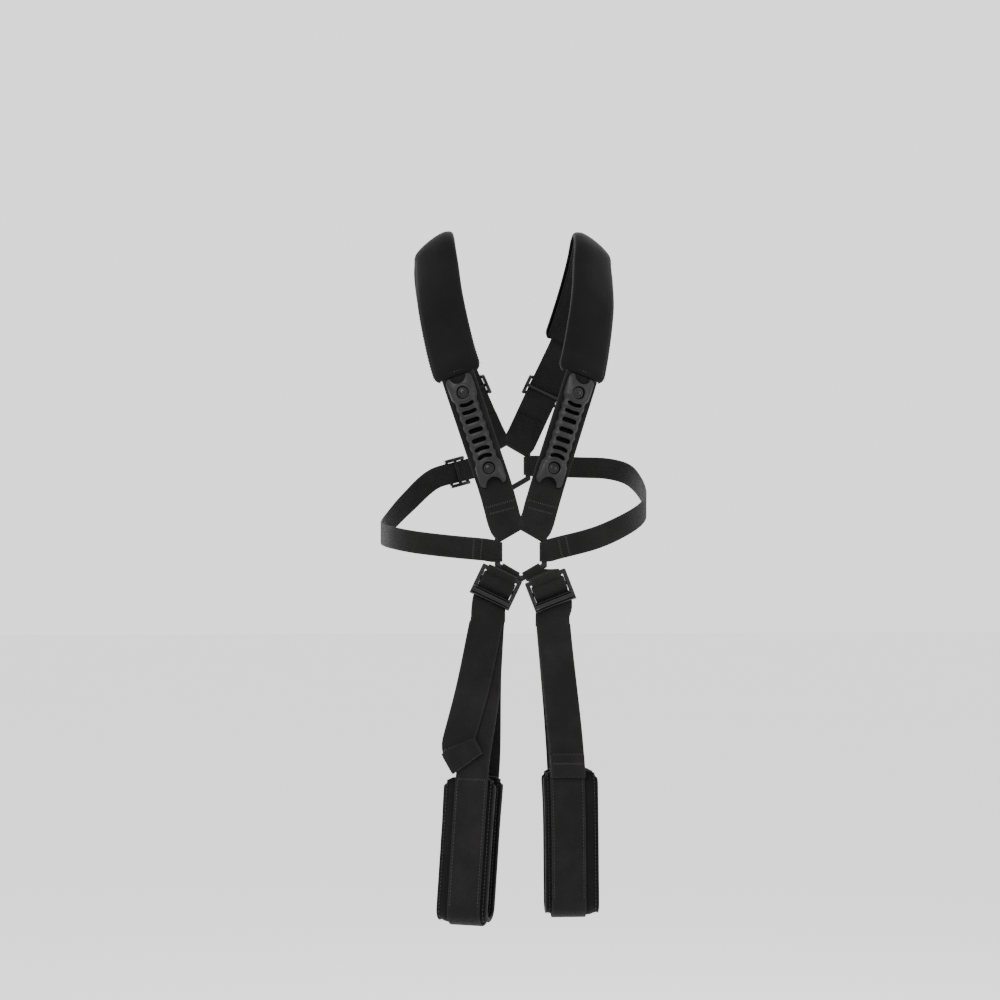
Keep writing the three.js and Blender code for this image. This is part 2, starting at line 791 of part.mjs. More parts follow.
// A short sewn loop that ties the buckle's top bar to the ring's lower bar.
// It is made flat, with both bars along Z, and is then skewed to lie on them.
function hangerLoop(side) {
  const at = buckleFrame(side);
  const ringAlong = new THREE.Vector3().crossVectors(front, frontLower.away);
  const between = at.top.clone().sub(frontLower.middle);
  const mean = ringAlong.clone().add(at.along).normalize();
  const across = between.clone().addScaledVector(mean, -between.dot(mean));
  const span = across.length();
  const block = joined([
    disc(ringLoopOuter, ringLoopWidth, 0),
    disc(buckleLoop, ringLoopWidth, span),
    box(span, 2 * webThickness, ringLoopWidth, span / 2, 0, 0),
  ]);
  const flat = cut(block, [
    disc(ringLoopHole, 2 * ringLoopWidth, 0),
    disc(buckleHole, 2 * ringLoopWidth, span),
  ]);
  const onBar = (vertex, along, origin, start) => {
    const away = across.clone().addScaledVector(along, -across.dot(along)).normalize();
    const proud = new THREE.Vector3().crossVectors(along, away);
    return origin.clone().addScaledVector(away, vertex.x - start)
      .addScaledVector(proud, vertex.y).addScaledVector(along, vertex.z);
  };
  return moved(flat, (vertex) => {
    const share = (vertex.x - ringLoopHole) / (span - ringLoopHole - buckleHole);
    const near = onBar(vertex, ringAlong, frontLower.middle, 0);
    const far = onBar(vertex, at.along, at.top, span);
    vertex.copy(near.lerp(far, THREE.MathUtils.clamp(share, 0, 1)));
  });
}

// ---------------------------------------------------------------- slings

const hingeAhead = buckleDepth - fit;
const tailBack = hingeAhead - 0.2 - tailThickness;
const stemMiddle = tailBack - softFit - webThickness;
const cuffMiddle = 127.5;
const cuffRun = cuffGap / 2 + cuffThickness + softFit + webThickness / 2;
const hingeGap = 0.4;

// Half the distance between the sling's two runs, and the line midway
// between them, at a depth below the hinge.
function slingShape(side) {
  const hinge = -frontRingDrop - side.hingeDrop;
  const bottom = -frontRingDrop - side.bottomDrop;
  const bend = bottom + cuffRun + webThickness / 2;
  const cuffTop = bottom + cuffDrop;
  const spread = (z) => THREE.MathUtils.smoothstep(hinge - slingStem - z, 0, hinge - slingStem - cuffTop);
  const halfGap = (z) => THREE.MathUtils.lerp(webThickness / 2, cuffRun, spread(z));
  const middle = (z) => -THREE.MathUtils.lerp(stemMiddle, cuffMiddle, spread(z));
  return { hinge, bottom, bend, cuffTop, halfGap, middle };
}

// Points down one run of the sling, offset from its middle line.
function runPoints(shape, from, to, sideOfLoop, offset) {
  const heights = [from];
  for (let step = Math.floor(from / routeStep - 0.3); step * routeStep > to + 0.3 * routeStep; step -= 1) {
    heights.push(step * routeStep);
  }
  heights.push(to);
  return heights.map((z) => (
    new THREE.Vector2(shape.middle(z) + sideOfLoop * (shape.halfGap(z) + offset), z)
  ));
}

// Points round the foot of the loop from the front run to the back run.
function footPoints(shape, radius) {
  const points = [];
  const steps = 10;
  for (let i = 1; i < steps; i += 1) {
    const turn = Math.PI * (1 + i / steps);
    const y = -cuffMiddle + radius * Math.cos(turn);
    points.push(new THREE.Vector2(y, shape.bend + radius * Math.sin(turn)));
  }
  return points;
}

// The outline of the loop: down the front run, round the foot and up the back.
function loopOutline(shape, from, offset) {
  return [
    ...runPoints(shape, from, shape.bend, -1, offset),
    ...footPoints(shape, cuffRun + offset),
    ...runPoints(shape, from, shape.bend, 1, offset).reverse(),
  ];
}

// Extrudes an outline in Y and Z to a width across X.
function acrossX(outline, holes, width) {
  const shape = new THREE.Shape(outline);
  shape.holes = holes.map((points) => new THREE.Path(points));
  const geometry = new THREE.ExtrudeGeometry(shape, { depth: width, bevelEnabled: false });
  geometry.translate(0, 0, -width / 2);
  return placed(geometry, new THREE.Vector3(), towards(0, 1, 0), towards(0, 0, 1));
}

// Lets a sling made straight drift aside and twist, as it hangs.
function hung(geometry, side, shape) {
  const centreLine = new THREE.CatmullRomCurve3([
    new THREE.Vector3(side.hingeAside, 0, shape.hinge),
    new THREE.Vector3(side.cuffAside, 0, shape.cuffTop),
    new THREE.Vector3(side.footAside, 0, shape.bottom),
  ]);
  const depth = shape.hinge - shape.bottom;
  return moved(geometry, (vertex) => {
    const share = THREE.MathUtils.clamp((shape.hinge - vertex.z) / depth, 0, 1);
    const turn = THREE.MathUtils.degToRad(side.twist) * THREE.MathUtils.smoothstep(share, 0.08, twistEnd);
    const aside = centreLine.getPointAt(share).x;
    const x = vertex.x;
    const y = vertex.y + cuffMiddle;
    vertex.x = aside + x * Math.cos(turn) - y * Math.sin(turn);
    vertex.y = x * Math.sin(turn) + y * Math.cos(turn) - cuffMiddle;
  });
}

function slingStrap(side) {
  const shape = slingShape(side);
  const outer = loopOutline(shape, shape.hinge - hingeGap, webThickness / 2);
  const inner = loopOutline(shape, shape.hinge - slingStem - 30, -webThickness / 2);
  return hung(acrossX(outer, [inner], strapWidth), side, shape);
}

// The cuff is one long pad folded up inside the loop, open at the top.
function cuffPad(side) {
  const shape = slingShape(side);
  const outerOffset = -webThickness / 2 - softFit;
  const innerOffset = outerOffset - cuffThickness;
  const top = shape.cuffTop;
  const outer = loopOutline(shape, top, outerOffset);
  const inner = loopOutline(shape, top, innerOffset);
  const geometry = acrossX([...outer, ...inner.reverse()], [], cuffWidth);
  return hung(geometry.translate(4, 0, 0), side, shape);
}

// The free end of the adjusting webbing, with its folded hem.
function tailStrap(side) {
  const shape = slingShape(side);
  const end = -frontRingDrop - side.tailDrop;
  const inner = webThickness / 2 + softFit;
  const facing = runPoints(shape, shape.hinge - hingeGap, end, -1, inner);
  const away = runPoints(shape, shape.hinge - hingeGap, end, -1, inner + tailThickness);
  const hem = away.slice(1).filter((point) => point.y < end + tailHem);
  const thick = hem.map((point) => new THREE.Vector2(point.x - tailThickness, point.y));
  const thin = away.filter((point) => point.y >= end + tailHem);
  const outline = [...facing, ...thick.reverse(), ...thin.reverse()];
  const depth = shape.hinge - end;
  const flat = acrossX(outline, [], strapWidth);
  const drifting = moved(flat, (vertex) => {
    vertex.x += (side.tailDrift * (shape.hinge - vertex.z)) / depth;
  });
  return hung(drifting, side, shape);
}

// The webbing over the buckle's centre bar: it passes behind the lip and
// ends level at the line where the sling starts to swing.
function strapThread(side) {
  const at = buckleFrame(side);
  const hinge = -frontRingDrop - side.hingeDrop + hingeGap;
  const barAt = at.top.clone().addScaledVector(at.down, buckleCentreBar);
  const layers = 2 * (webThickness - 0.1);
  const tabMiddle = fit + 0.35 + layers / 2;
  const loop = eye(0, buckleLoop, strapWidth, buckleLoop + 0.1, -0.5, barAt, at.down, front);
  const section = (middle, along) => [
    [1, 1], [-1, 1], [-1, -1], [1, -1],
  ].map(([a, b]) => middle.clone().addScaledVector(along, (a * strapWidth) / 2)
    .addScaledVector(back, (b * layers) / 2));
  const behind = new THREE.Vector3(0, tabMiddle, 0);
  const level = towards(1, 0, 0);
  const stations = [
    [at.top.clone().addScaledVector(at.down, buckleCentreBar + buckleHole).add(behind), at.along],
    [at.top.clone().addScaledVector(at.down, buckleCentreBar + 6).add(behind), at.along],
    [new THREE.Vector3(side.hingeAside, behind.y - buckleDepth, hinge), level],
  ];
  const tab = loft(stations.map(([middle, along]) => section(middle, along)).reverse());
  const rod = new THREE.CylinderGeometry(buckleHole, buckleHole, 2 * strapWidth, 16);
  const up = new THREE.Vector3().crossVectors(front, at.along);
  const bore = placed(rod.rotateX(Math.PI / 2), barAt, up, front);
  return cut(joined([loop, tab]), [bore]);
}

// ---------------------------------------------------------------- the harness

const harness = new THREE.Group();

function add(name, geometry, material) {
  const mesh = new THREE.Mesh(geometry, material);
  mesh.name = name;
  harness.add(mesh);
}

add('front_ring', ring(-frontDepth, frontRingDrop), ringBlack);
add('back_ring', ring(backDepth, backRingDrop), ringBlack);

for (const [name, side] of Object.entries(sides)) {
  const addHere = (part, geometry, material) => add(`${part}_${name}`, onSide(geometry, side.sign), material);
  const band = bandRoute(side);
  addHere('shoulder_strap', shoulderStrap(), webbing);
  addHere('pad_cover', padCoverLayer(), padFabric);
  addHere('pad_foam', padFoamLayer(), foam);
  addHere('grip', gripBody(), gripRubber);
  for (const [level, distance] of Object.entries(rivetPlaces)) {
    addHere(`grip_rivet_${level}`, rivet(distance), rivetMetal);
    addHere(`rivet_washer_${level}`, washer(distance), rivetMetal);
  }
  addHere('shoulder_slider', sliderOn(shoulder, shoulder.length - sliderToBackRing, strapWidth), gloss);
  addHere('chest_band', chestBand(band), webbing);
  addHere('band_slider', sliderOn(band, band.length - bandSliderToBackRing, bandWidth), gloss);
  addHere('hanger_loop', hangerLoop(side), webbing);
  addHere('ladder_buckle', buckleOn(side), gloss);
  addHere('strap_thread', strapThread(side), webbing);
  addHere('sling_strap', slingStrap(side), webbing);
  addHere('tail_strap', tailStrap(side), webbing);
  addHere('cuff_pad', cuffPad(side), padFabric);
}

export default harness;
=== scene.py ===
"""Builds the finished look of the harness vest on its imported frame.

Metres, +Z up. The wearer faces -Y and the wearer's left is +X.
"""

import math

import bpy
import numpy as np
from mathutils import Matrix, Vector


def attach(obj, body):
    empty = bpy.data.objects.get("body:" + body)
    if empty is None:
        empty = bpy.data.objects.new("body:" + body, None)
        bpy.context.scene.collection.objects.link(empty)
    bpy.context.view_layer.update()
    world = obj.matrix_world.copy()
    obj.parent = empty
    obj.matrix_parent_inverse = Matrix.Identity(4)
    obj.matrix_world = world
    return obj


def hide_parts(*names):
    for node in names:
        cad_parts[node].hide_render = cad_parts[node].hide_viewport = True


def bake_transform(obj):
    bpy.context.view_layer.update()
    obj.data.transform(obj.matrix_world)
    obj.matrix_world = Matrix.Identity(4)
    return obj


bl_info = {
    "name": "Harness Vest",
    "version": (1, 0, 0),
    "blender": (4, 5, 0),
    "location": "View3D > Sidebar > Harness",
    "description": "Webbing, pads, grips and buckles of a chest harness",
    "category": "Object",
}

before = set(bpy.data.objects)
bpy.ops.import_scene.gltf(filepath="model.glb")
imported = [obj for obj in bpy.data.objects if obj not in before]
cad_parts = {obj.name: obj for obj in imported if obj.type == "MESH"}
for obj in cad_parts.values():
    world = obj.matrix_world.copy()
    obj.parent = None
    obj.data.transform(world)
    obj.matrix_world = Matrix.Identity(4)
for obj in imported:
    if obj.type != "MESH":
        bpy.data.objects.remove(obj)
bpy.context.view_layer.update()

MM = 0.001
SIDES = {"left": 1, "right": -1}

# ------------------------------------------------------------------ sizes

# The same values as the frame's, in millimetres.
SPAN, CHEST, FRONT, BACK = 95, 152, 118, 109
FRONT_DROP, BACK_DROP = 354, 255
WEB, FIT, SOFT_FIT = 2, 0.35, 0.85
RING_OPENING, RING_BAR, RING_DEPTH = 46, 6.4, 4.8
RING_MIDDLE = RING_OPENING / 2 + RING_BAR / 2
TAB = 8
GRIP_START, GRIP_LENGTH, GRIP_WIDTH, GRIP_END = 46, 130, 24, 31
GRIP_HEIGHT, GRIP_FLOOR, GRIP_WALL, RIVET_INSET, RIVET_HEAD = 9, 2.6, 2.6, 20, 13
GRIP_BASE = WEB / 2 + FIT
PAD_START, PAD_TO_BACK, PAD_WIDTH, PAD_FOAM = 178, 129, 55, 7
SLIDER_TO_BACK, BAND_SLIDER_TO_BACK = 66, 26
BUCKLE_INNER, BUCKLE_RAIL, BUCKLE_BAR, BUCKLE_CENTRE = 40, 3.4, 4.4, 13
LIP_START, LIP_END, LIP_FRONT, BUCKLE_DEPTH = 22, 33.5, 5, 126
SLING_STEM, CUFF_WIDTH, CUFF_THICK, CUFF_GAP, CUFF_DROP = 14, 65, 9, 14, 167
HINGE_AHEAD = BUCKLE_DEPTH - FIT
TAIL_THICK = 1.9
TAIL_BACK = HINGE_AHEAD - 0.2 - TAIL_THICK
STEM_MIDDLE = TAIL_BACK - SOFT_FIT - WEB
CUFF_MIDDLE = 127.5
CUFF_RUN = CUFF_GAP / 2 + CUFF_THICK + SOFT_FIT + WEB / 2
# Stitches lie just proud of the webbing, and a tack stops short of its edges.
ON_WEB = WEB / 2 + 0.1
TACK_WIDTH, RING_TACK_WIDTH, BAND_TACK_WIDTH = 31, 27, 20

WORN = {
    "left": {
        "inset": 9.5, "drop": 6.3, "tilt": 21, "hinge": (35, 71), "cuff": 49,
        "foot": 52, "twist": 0, "bottom": 407, "tail": 250, "drift": 1, "kink": 0,
        "climb": (0.025, 0.16, 0.3, 0.42, 0.53, 0.76, 0.9, 0.965, 0.98, 0.99, 1),
    },
    "right": {
        "inset": 14.5, "drop": 2.3, "tilt": 25.7, "hinge": (37, 67), "cuff": 49,
        "foot": 60, "twist": 24, "bottom": 415, "tail": 240, "drift": 24, "kink": 40,
        "climb": (0.02, 0.07, 0.11, 0.15, 0.18, 0.23, 0.34, 0.56, 0.84, 0.92, 0.99),
    },
}

STRAP_STATIONS = (
    (0.298, -1.021, 0.802, (0.06, -1, 0.06)),
    (0.445, -0.973, 0.681, (0.12, -1, 0.1)),
    (0.592, -0.925, 0.56, (0.18, -1, 0.15)),
    (0.738, -0.877, 0.44, (0.26, -0.95, 0.22)),
    (0.824, -0.746, 0.356, (0.34, -0.88, 0.34)),
    (0.939, -0.508, 0.192, (0.45, -0.72, 0.52)),
    (0.973, -0.297, 0.089, (0.54, -0.5, 0.68)),
    (0.994, -0.132, 0.02, (0.61, -0.24, 0.75)),
    (1, 0, 0, (0.63, 0, 0.78)),
    (0.994, 0.15, 0.018, (0.61, 0.24, 0.75)),
    (0.979, 0.321, 0.082, (0.56, 0.5, 0.66)),
    (0.895, 0.596, 0.235, (0.45, 0.72, 0.5)),
    (0.737, 0.807, 0.431, (0.3, 0.92, 0.25)),
    (0.653, 0.844, 0.502, (0.24, 0.95, 0.2)),
    (0.471, 0.924, 0.647, (0.14, 1, 0.12)),
    (0.289, 1.004, 0.796, (0.08, 1, 0.06)),
)
BAND_ANGLES = (6.6, 25.1, 43.7, 62.2, 80.7, 99.3, 117.8, 136.3, 154.2)


# ------------------------------------------------------------------ routes

def unit(vectors):
    vectors = np.asarray(vectors, float)
    return vectors / np.linalg.norm(vectors, axis=-1, keepdims=True)


def smoothstep(x, low, high):
    t = np.clip((np.asarray(x, float) - low) / (high - low), 0, 1)
    return t * t * (3 - 2 * t)


def mix(a, b, share):
    return a + (b - a) * share


class Route:
    """A strap's middle line in millimetres, with the way its outer face looks."""

    def __init__(self, points, looks, fine=40):
        p = np.asarray(points, float)
        looks = unit(looks)
        ends = np.vstack([2 * p[0] - p[1], p, 2 * p[-1] - p[-2]])
        centres, facing = [], []
        for i in range(len(p) - 1):
            p0, p1, p2, p3 = ends[i:i + 4]
            dt = [max(np.sum((b - a) ** 2) ** 0.25, 1e-4)
                  for a, b in ((p0, p1), (p1, p2), (p2, p3))]
            t1 = ((p1 - p0) / dt[0] - (p2 - p0) / (dt[0] + dt[1]) + (p2 - p1) / dt[1]) * dt[1]
            t2 = ((p2 - p1) / dt[1] - (p3 - p1) / (dt[1] + dt[2]) + (p3 - p2) / dt[2]) * dt[1]
            last = i == len(p) - 2
            w = np.linspace(0, 1, fine + 1)[:None if last else -1, None]
            centres.append(p1 + t1 * w + (3 * (p2 - p1) - 2 * t1 - t2) * w ** 2
                           + (2 * (p1 - p2) + t1 + t2) * w ** 3)
            facing.append(mix(looks[i], looks[i + 1], w))
        self.centre = np.vstack(centres)
        steps = np.linalg.norm(np.diff(self.centre, axis=0), axis=1)
        self.at = np.concatenate([[0], np.cumsum(steps)])
        self.length = self.at[-1]
        self.along = unit(np.gradient(self.centre, self.at, axis=0))
        self.look = np.vstack(facing)

    def _pick(self, table, distance):
        return np.stack([np.interp(distance, self.at, table[:, k]) for k in range(3)], -1)

    def frame(self, distance):
        """Centre, across, outward and along at each distance."""
        distance = np.asarray(distance, float)
        centre = self._pick(self.centre, distance)
        along = unit(self._pick(self.along, distance))
        beyond = distance - np.clip(distance, 0, self.length)
        centre = centre + along * beyond[..., None]
        look = self._pick(self.look, distance)
        look = unit(look - along * np.sum(look * along, -1, keepdims=True))
        return centre, np.cross(along, look), look, along

    def wrap(self, flat, start=0.0):
        """Places flat points (across, along, outward) on the route."""
        centre, across, out, _ = self.frame(start + flat[:, 1])
        return centre + across * flat[:, :1] + out * flat[:, 2:3]


def mirrored(points):
    return np.asarray(points, float) * (-1, 1, 1)


def bar_middle(depth, drop, angle):
    """The middle of a ring's bar and the way from the ring's centre to it."""
    turn = math.radians(angle)
    away = np.array([math.cos(turn), 0, math.sin(turn)])
    return np.array([0, depth, -drop]) + away * RING_MIDDLE, away


def shoulder_centre_line():
    bar, away = bar_middle(-FRONT, FRONT_DROP, 60)
    rear, rear_away = bar_middle(BACK, BACK_DROP, 60)
    points = [bar + away * TAB + (0, -1, 0)]
    looks = [(0, -1, 0)]
    for out, deep, down, look in STRAP_STATIONS:
        front = deep < 0
        points.append((out * SPAN, deep * (FRONT if front else BACK),
                       -down * (FRONT_DROP if front else BACK_DROP)))
        looks.append(look)
    points.append(rear + rear_away * TAB + (0, 1, 0))
    looks.append((0, 1, 0))
    return Route(points, looks)


def band_centre_line(worn):
    power = 2 / 3
    places = []
    for angle in BAND_ANGLES:
        turn = math.radians(angle)
        depth = -FRONT if angle < 90 else BACK
        places.append((CHEST * math.sin(turn) ** power, depth * abs(math.cos(turn)) ** power))
    ring_x = RING_MIDDLE + TAB
    places[0] = (ring_x, -FRONT)
    last = places[-1]
    places += [((last[0] + ring_x) / 2, (last[1] + BACK) / 2), (ring_x, BACK)]
    looks = []
    for x, y in places:
        depth = FRONT if y < 0 else BACK
        looks.append(unit(((x / CHEST) ** 2 / CHEST, math.copysign((y / depth) ** 2, y) / depth, 0)))
    looks[0], looks[-2], looks[-1] = (0, -1, 0), looks[-3], (0, 1, 0)
    points = [(x, y, mix(-FRONT_DROP, -BACK_DROP, climb))
              for (x, y), climb in zip(places, worn["climb"])]
    return Route(points, looks)


def folded(line, bars, fold, lead=6, step=9):
    """The route of a strap that comes back inside itself round a bar at each end.

    bars holds each end's (bar middle, way from ring to bar, front way).
    """
    radius = 4.6
    points, looks = [], []

    def layer(distances, out, sign):
        centre, _, look, _ = line.frame(np.asarray(distances, float))
        points.extend(centre + look * out)
        looks.extend(look * sign)

    def turn(bar, away, front, angles):
        for angle in np.radians(angles):
            way = -np.asarray(away) * math.cos(angle) + np.asarray(front) * math.sin(angle)
            points.append(bar + way * radius)
            looks.append(way)

    (bar0, away0, front0), (bar1, away1, front1) = bars
    layer([fold, fold - 10, lead], -WEB - 0.05, -1)
    turn(bar0, away0, front0, (-75, -45, -15, 15, 45, 75))
    count = int((line.length - 2 * lead) / step)
    layer(np.linspace(lead, line.length - lead, count), 0, 1)
    turn(bar1, away1, front1, (75, 45, 15, -15, -45, -75))
    layer([line.length - lead, line.length - fold + 10, line.length - fold], -WEB - 0.05, -1)
    return Route(points, looks, fine=14)


# ------------------------------------------------------------------ making meshes

def select_only(*pieces):
    bpy.ops.object.select_all(action="DESELECT")
    for piece in pieces:
        piece.select_set(True)
    bpy.context.view_layer.objects.active = pieces[0]


def added(name, operator, **settings):
    bpy.ops.object.select_all(action="DESELECT")
    operator(**settings)
    piece = bpy.context.object
    piece.name = piece.data.name = name
    bpy.ops.object.transform_apply(location=True, rotation=True, scale=True)
    return piece


def points_of(piece):
    co = np.empty(len(piece.data.vertices) * 3, np.float32)
    piece.data.vertices.foreach_get("co", co)
    return co.reshape(-1, 3).astype(float)


def move_points(piece, points):
    piece.data.vertices.foreach_set("co", np.asarray(points, np.float32).ravel())
    piece.data.update()


def finish_with(piece, kind, **settings):
    select_only(piece)
    modifier = piece.modifiers.new(kind.title(), kind)
    for key, value in settings.items():
        setattr(modifier, key, value)
    if kind == "BOOLEAN":
        modifier.solver = "EXACT"
    bpy.ops.object.modifier_apply(modifier=modifier.name)
    return piece


def edited(piece, *steps):
    select_only(piece)
    bpy.ops.object.mode_set(mode="EDIT")
    bpy.ops.mesh.select_all(action="SELECT")
    for operator, settings in steps:
        operator(**settings)
    bpy.ops.object.mode_set(mode="OBJECT")
    return piece


def outward_normals(piece):
    return edited(piece, (bpy.ops.mesh.normals_make_consistent, {"inside": False}))


def smooth(piece, degrees=40):
    select_only(piece)
    bpy.ops.object.shade_smooth_by_angle(angle=math.radians(degrees))
    return piece


def united(piece, others, operation="UNION"):
    for other in others:
        finish_with(piece, "BOOLEAN", object=other, operation=operation)
        bpy.data.objects.remove(other, do_unlink=True)
    return piece


def lay_uv(piece, flat=None, shift=0.0):
    """A UV map in metres: across and along the flat piece."""
    flat = points_of(piece) * 1 if flat is None else flat
    mesh = piece.data
    layer = mesh.uv_layers.get("UVMap") or mesh.uv_layers.new(name="UVMap")
    corner = np.empty(len(mesh.loops), np.int64)
    mesh.loops.foreach_get("vertex_index", corner)
    uv = flat[corner][:, :2] * MM + (0, shift * MM)
    layer.data.foreach_set("uv", uv.astype(np.float32).ravel())


def shaped(piece, mapping):
    """Moves a piece made flat in millimetres to its place, in metres."""
    move_points(piece, mapping(points_of(piece)) * MM)
    return piece


def block(name, size, middle, round_by=0.6, segments=2):
    piece = added(name, bpy.ops.mesh.primitive_cube_add, size=1)
    move_points(piece, points_of(piece) * size + middle)
    if round_by:
        finish_with(piece, "BEVEL", width=round_by, segments=segments)
    return piece


def ribbon(name, width, length, thick=WEB, step=4.0, columns=8, rounding=0.5, shift=0.0):
    """A flat strip of webbing in millimetres, from 0 to its length along Y."""
    rows = max(2, round(length / step))
    piece = added(name, bpy.ops.mesh.primitive_grid_add,
                  x_subdivisions=columns, y_subdivisions=rows, size=1)
    flat = points_of(piece) * (width, length, 0) + (0, length / 2, 0)
    move_points(piece, flat)
    finish_with(piece, "SOLIDIFY", thickness=thick, offset=0)
    if rounding:
        finish_with(piece, "BEVEL", width=rounding, segments=2, limit_method="ANGLE",
                    angle_limit=math.radians(60))
    outward_normals(piece)
    lay_uv(piece, shift=shift)
    return smooth(piece, 60)


def narrowed(flat, width_at):
    """Scales a flat strip across, by a width share at each distance along."""
    flat = flat.copy()
    flat[:, 0] *= width_at(flat[:, 1])
    return flat


def sewn(name, places, mapping, long=2.6, thread=0.34):
    """Stitches at (across, along, outward, turn in degrees) on a flat piece."""
    seed = added(name + "_seed", bpy.ops.mesh.primitive_uv_sphere_add,
                 segments=6, ring_count=4, radius=1)
    shape = points_of(seed)[:, [0, 2, 1]] * (thread, long / 2, thread * 0.8)
    faces = [tuple(face.vertices) for face in seed.data.polygons]
    bpy.data.objects.remove(seed, do_unlink=True)
    vertices, polygons = [], []
    for across, along, out, degrees in places:
        c, s = math.cos(math.radians(degrees)), math.sin(math.radians(degrees))
        turned = shape @ np.array(((c, s, 0), (-s, c, 0), (0, 0, 1)))
        base = len(vertices) * len(shape)
        vertices.append(turned + (across, along, out))
        polygons += [tuple(base + i for i in face) for face in faces]
    mesh = bpy.data.meshes.new(name)
    mesh.from_pydata(mapping(np.vstack(vertices)) * MM, [], polygons)
    piece = bpy.data.objects.new(name, mesh)
    bpy.context.collection.objects.link(piece)
    outward_normals(piece)
    return smooth(piece, 80)


def bar_tack(along, width, out, count=15, rows=1, tall=3.4):
    """A dense zigzag of stitches across a strap."""
    places = []
    for row in range(rows):
        for i in range(count):
            across = mix(-width / 2, width / 2, i / (count - 1))
            places.append((across, along + row * (tall + 0.6), out, 22 if i % 2 else -22))
    return places


def seam(across, start, end, out, pitch=3.6, turn=0):
    count = max(2, round((end - start) / pitch))
    return [(across, mix(start, end, (i + 0.5) / count), out, turn) for i in range(count)]


# ------------------------------------------------------------------ finishes

def finish_nodes(name, colour, rough, **shader):
    name += "_finish"
    material = bpy.data.materials.get(name)
    if material:
        return material, None, None
    material = bpy.data.materials.new(name)
    material.use_nodes = True
    tree = material.node_tree
    surface = tree.nodes["Principled BSDF"]
    surface.inputs["Base Color"].default_value = (*colour, 1)
    surface.inputs["Roughness"].default_value = rough
    for key, value in shader.items():
        surface.inputs[key.replace("_", " ").title().replace("Ior", "IOR")].default_value = value
    material.diffuse_color = (*colour, 1)
    return material, tree, surface


def node(tree, kind, inputs=None, **settings):
    new = tree.nodes.new("ShaderNode" + kind)
    for key, value in settings.items():
        setattr(new, key, value)
    for key, value in (inputs or {}).items():
        socket = new.inputs[key]
        if isinstance(value, bpy.types.NodeSocket):
            tree.links.new(value, socket)
        else:
            socket.default_value = value
    return new


def maths(tree, operation, a, b=0.0, c=0.0):
    return node(tree, "Math", {0: a, 1: b, 2: c}, operation=operation).outputs[0]


def blended_colour(tree, surface, share, low, high):
    new = node(tree, "MixRGB", {"Fac": share, "Color1": (*low, 1), "Color2": (*high, 1)})
    tree.links.new(new.outputs[0], surface.inputs["Base Color"])
    return new


def bumped(tree, surface, height, distance, strength=1.0):
    new = node(tree, "Bump", {"Height": height, "Distance": distance, "Strength": strength})
    tree.links.new(new.outputs[0], surface.inputs["Normal"])


def ranged(tree, value, low, high, from_low=0.0, from_high=1.0):
    return node(tree, "MapRange", {0: value, 1: from_low, 2: from_high, 3: low, 4: high}).outputs[0]


def noise(tree, place, scale, detail=3.0, rough=0.5):
    return node(tree, "TexNoise", {"Vector": place, "Scale": scale, "Detail": detail,
                                   "Roughness": rough}).outputs["Fac"]


def webbing_finish(half_width=0.019, name="webbing"):
    """Ribbed polyester webbing: fine cross ribs, lengthwise yarns and a plain selvedge; the colour is
    painted lighter on the rib tops and darker in the valleys between them, as painted highlight and painted
    shade.
    """
    sizes = bpy.context.scene.harness_webbing
    colour = tuple(sizes.colour)
    material, tree, surface = finish_nodes(
        name, colour, 0.82, sheen_weight=0.06, sheen_roughness=0.45, specular_ior_level=0.14)
    if tree is None:
        return material
    uv = node(tree, "UVMap", uv_map="UVMap").outputs[0]
    place = node(tree, "TexCoord").outputs["Object"]
    apart = node(tree, "SeparateXYZ", {0: uv})
    u, v = apart.outputs[0], apart.outputs[1]
    turns = math.tau / sizes.yarn_width
    row = maths(tree, "MULTIPLY", v, math.tau / sizes.rib_pitch)
    column = maths(tree, "MULTIPLY", u, turns)
    lean = maths(tree, "MULTIPLY", maths(tree, "SINE", column), 1.1)
    ribs = maths(tree, "SINE", maths(tree, "ADD", row, lean))
    yarns = maths(tree, "ABSOLUTE", maths(tree, "SINE", maths(tree, "MULTIPLY", column, 0.5)))
    weave = maths(tree, "ADD", maths(tree, "MULTIPLY", ribs, 0.5), yarns)
    edge = maths(tree, "ABSOLUTE", u)
    selvedge = ranged(tree, edge, 0.0, 1.0, half_width - 0.0022, half_width - 0.0016)
    groove = maths(tree, "MULTIPLY", maths(tree, "COMPARE", edge, half_width - 0.0032, 0.00035), -0.8)
    fibre = noise(tree, place, 2600, 2)
    height = maths(tree, "ADD", maths(tree, "ADD", weave, groove), maths(tree, "MULTIPLY", fibre, 0.5))
    bumped(tree, surface, height, 0.00022, 0.9)
    wear = noise(tree, place, 26, 4, 0.6)
    worn = maths(tree, "ADD", ranged(tree, wear, 0, 0.45, 0.42, 0.72),
                 maths(tree, "MULTIPLY", selvedge, 0.3))
    # The weave term paints the rib tops lighter and the rib valleys darker: painted highlight and painted
    # shade that follow the relief. The wear noise and the selvedge are the webbing's own tone.
    share = maths(tree, "ADD", worn, ranged(tree, weave, -0.12, 0.3, -0.5, 1.5))
    blended_colour(tree, surface, share, tuple(0.72 * c for c in colour),
                   tuple(2.1 * c + 0.0008 for c in colour))
    tree.links.new(ranged(tree, share, 0.9, 0.74), surface.inputs["Roughness"])
    return material


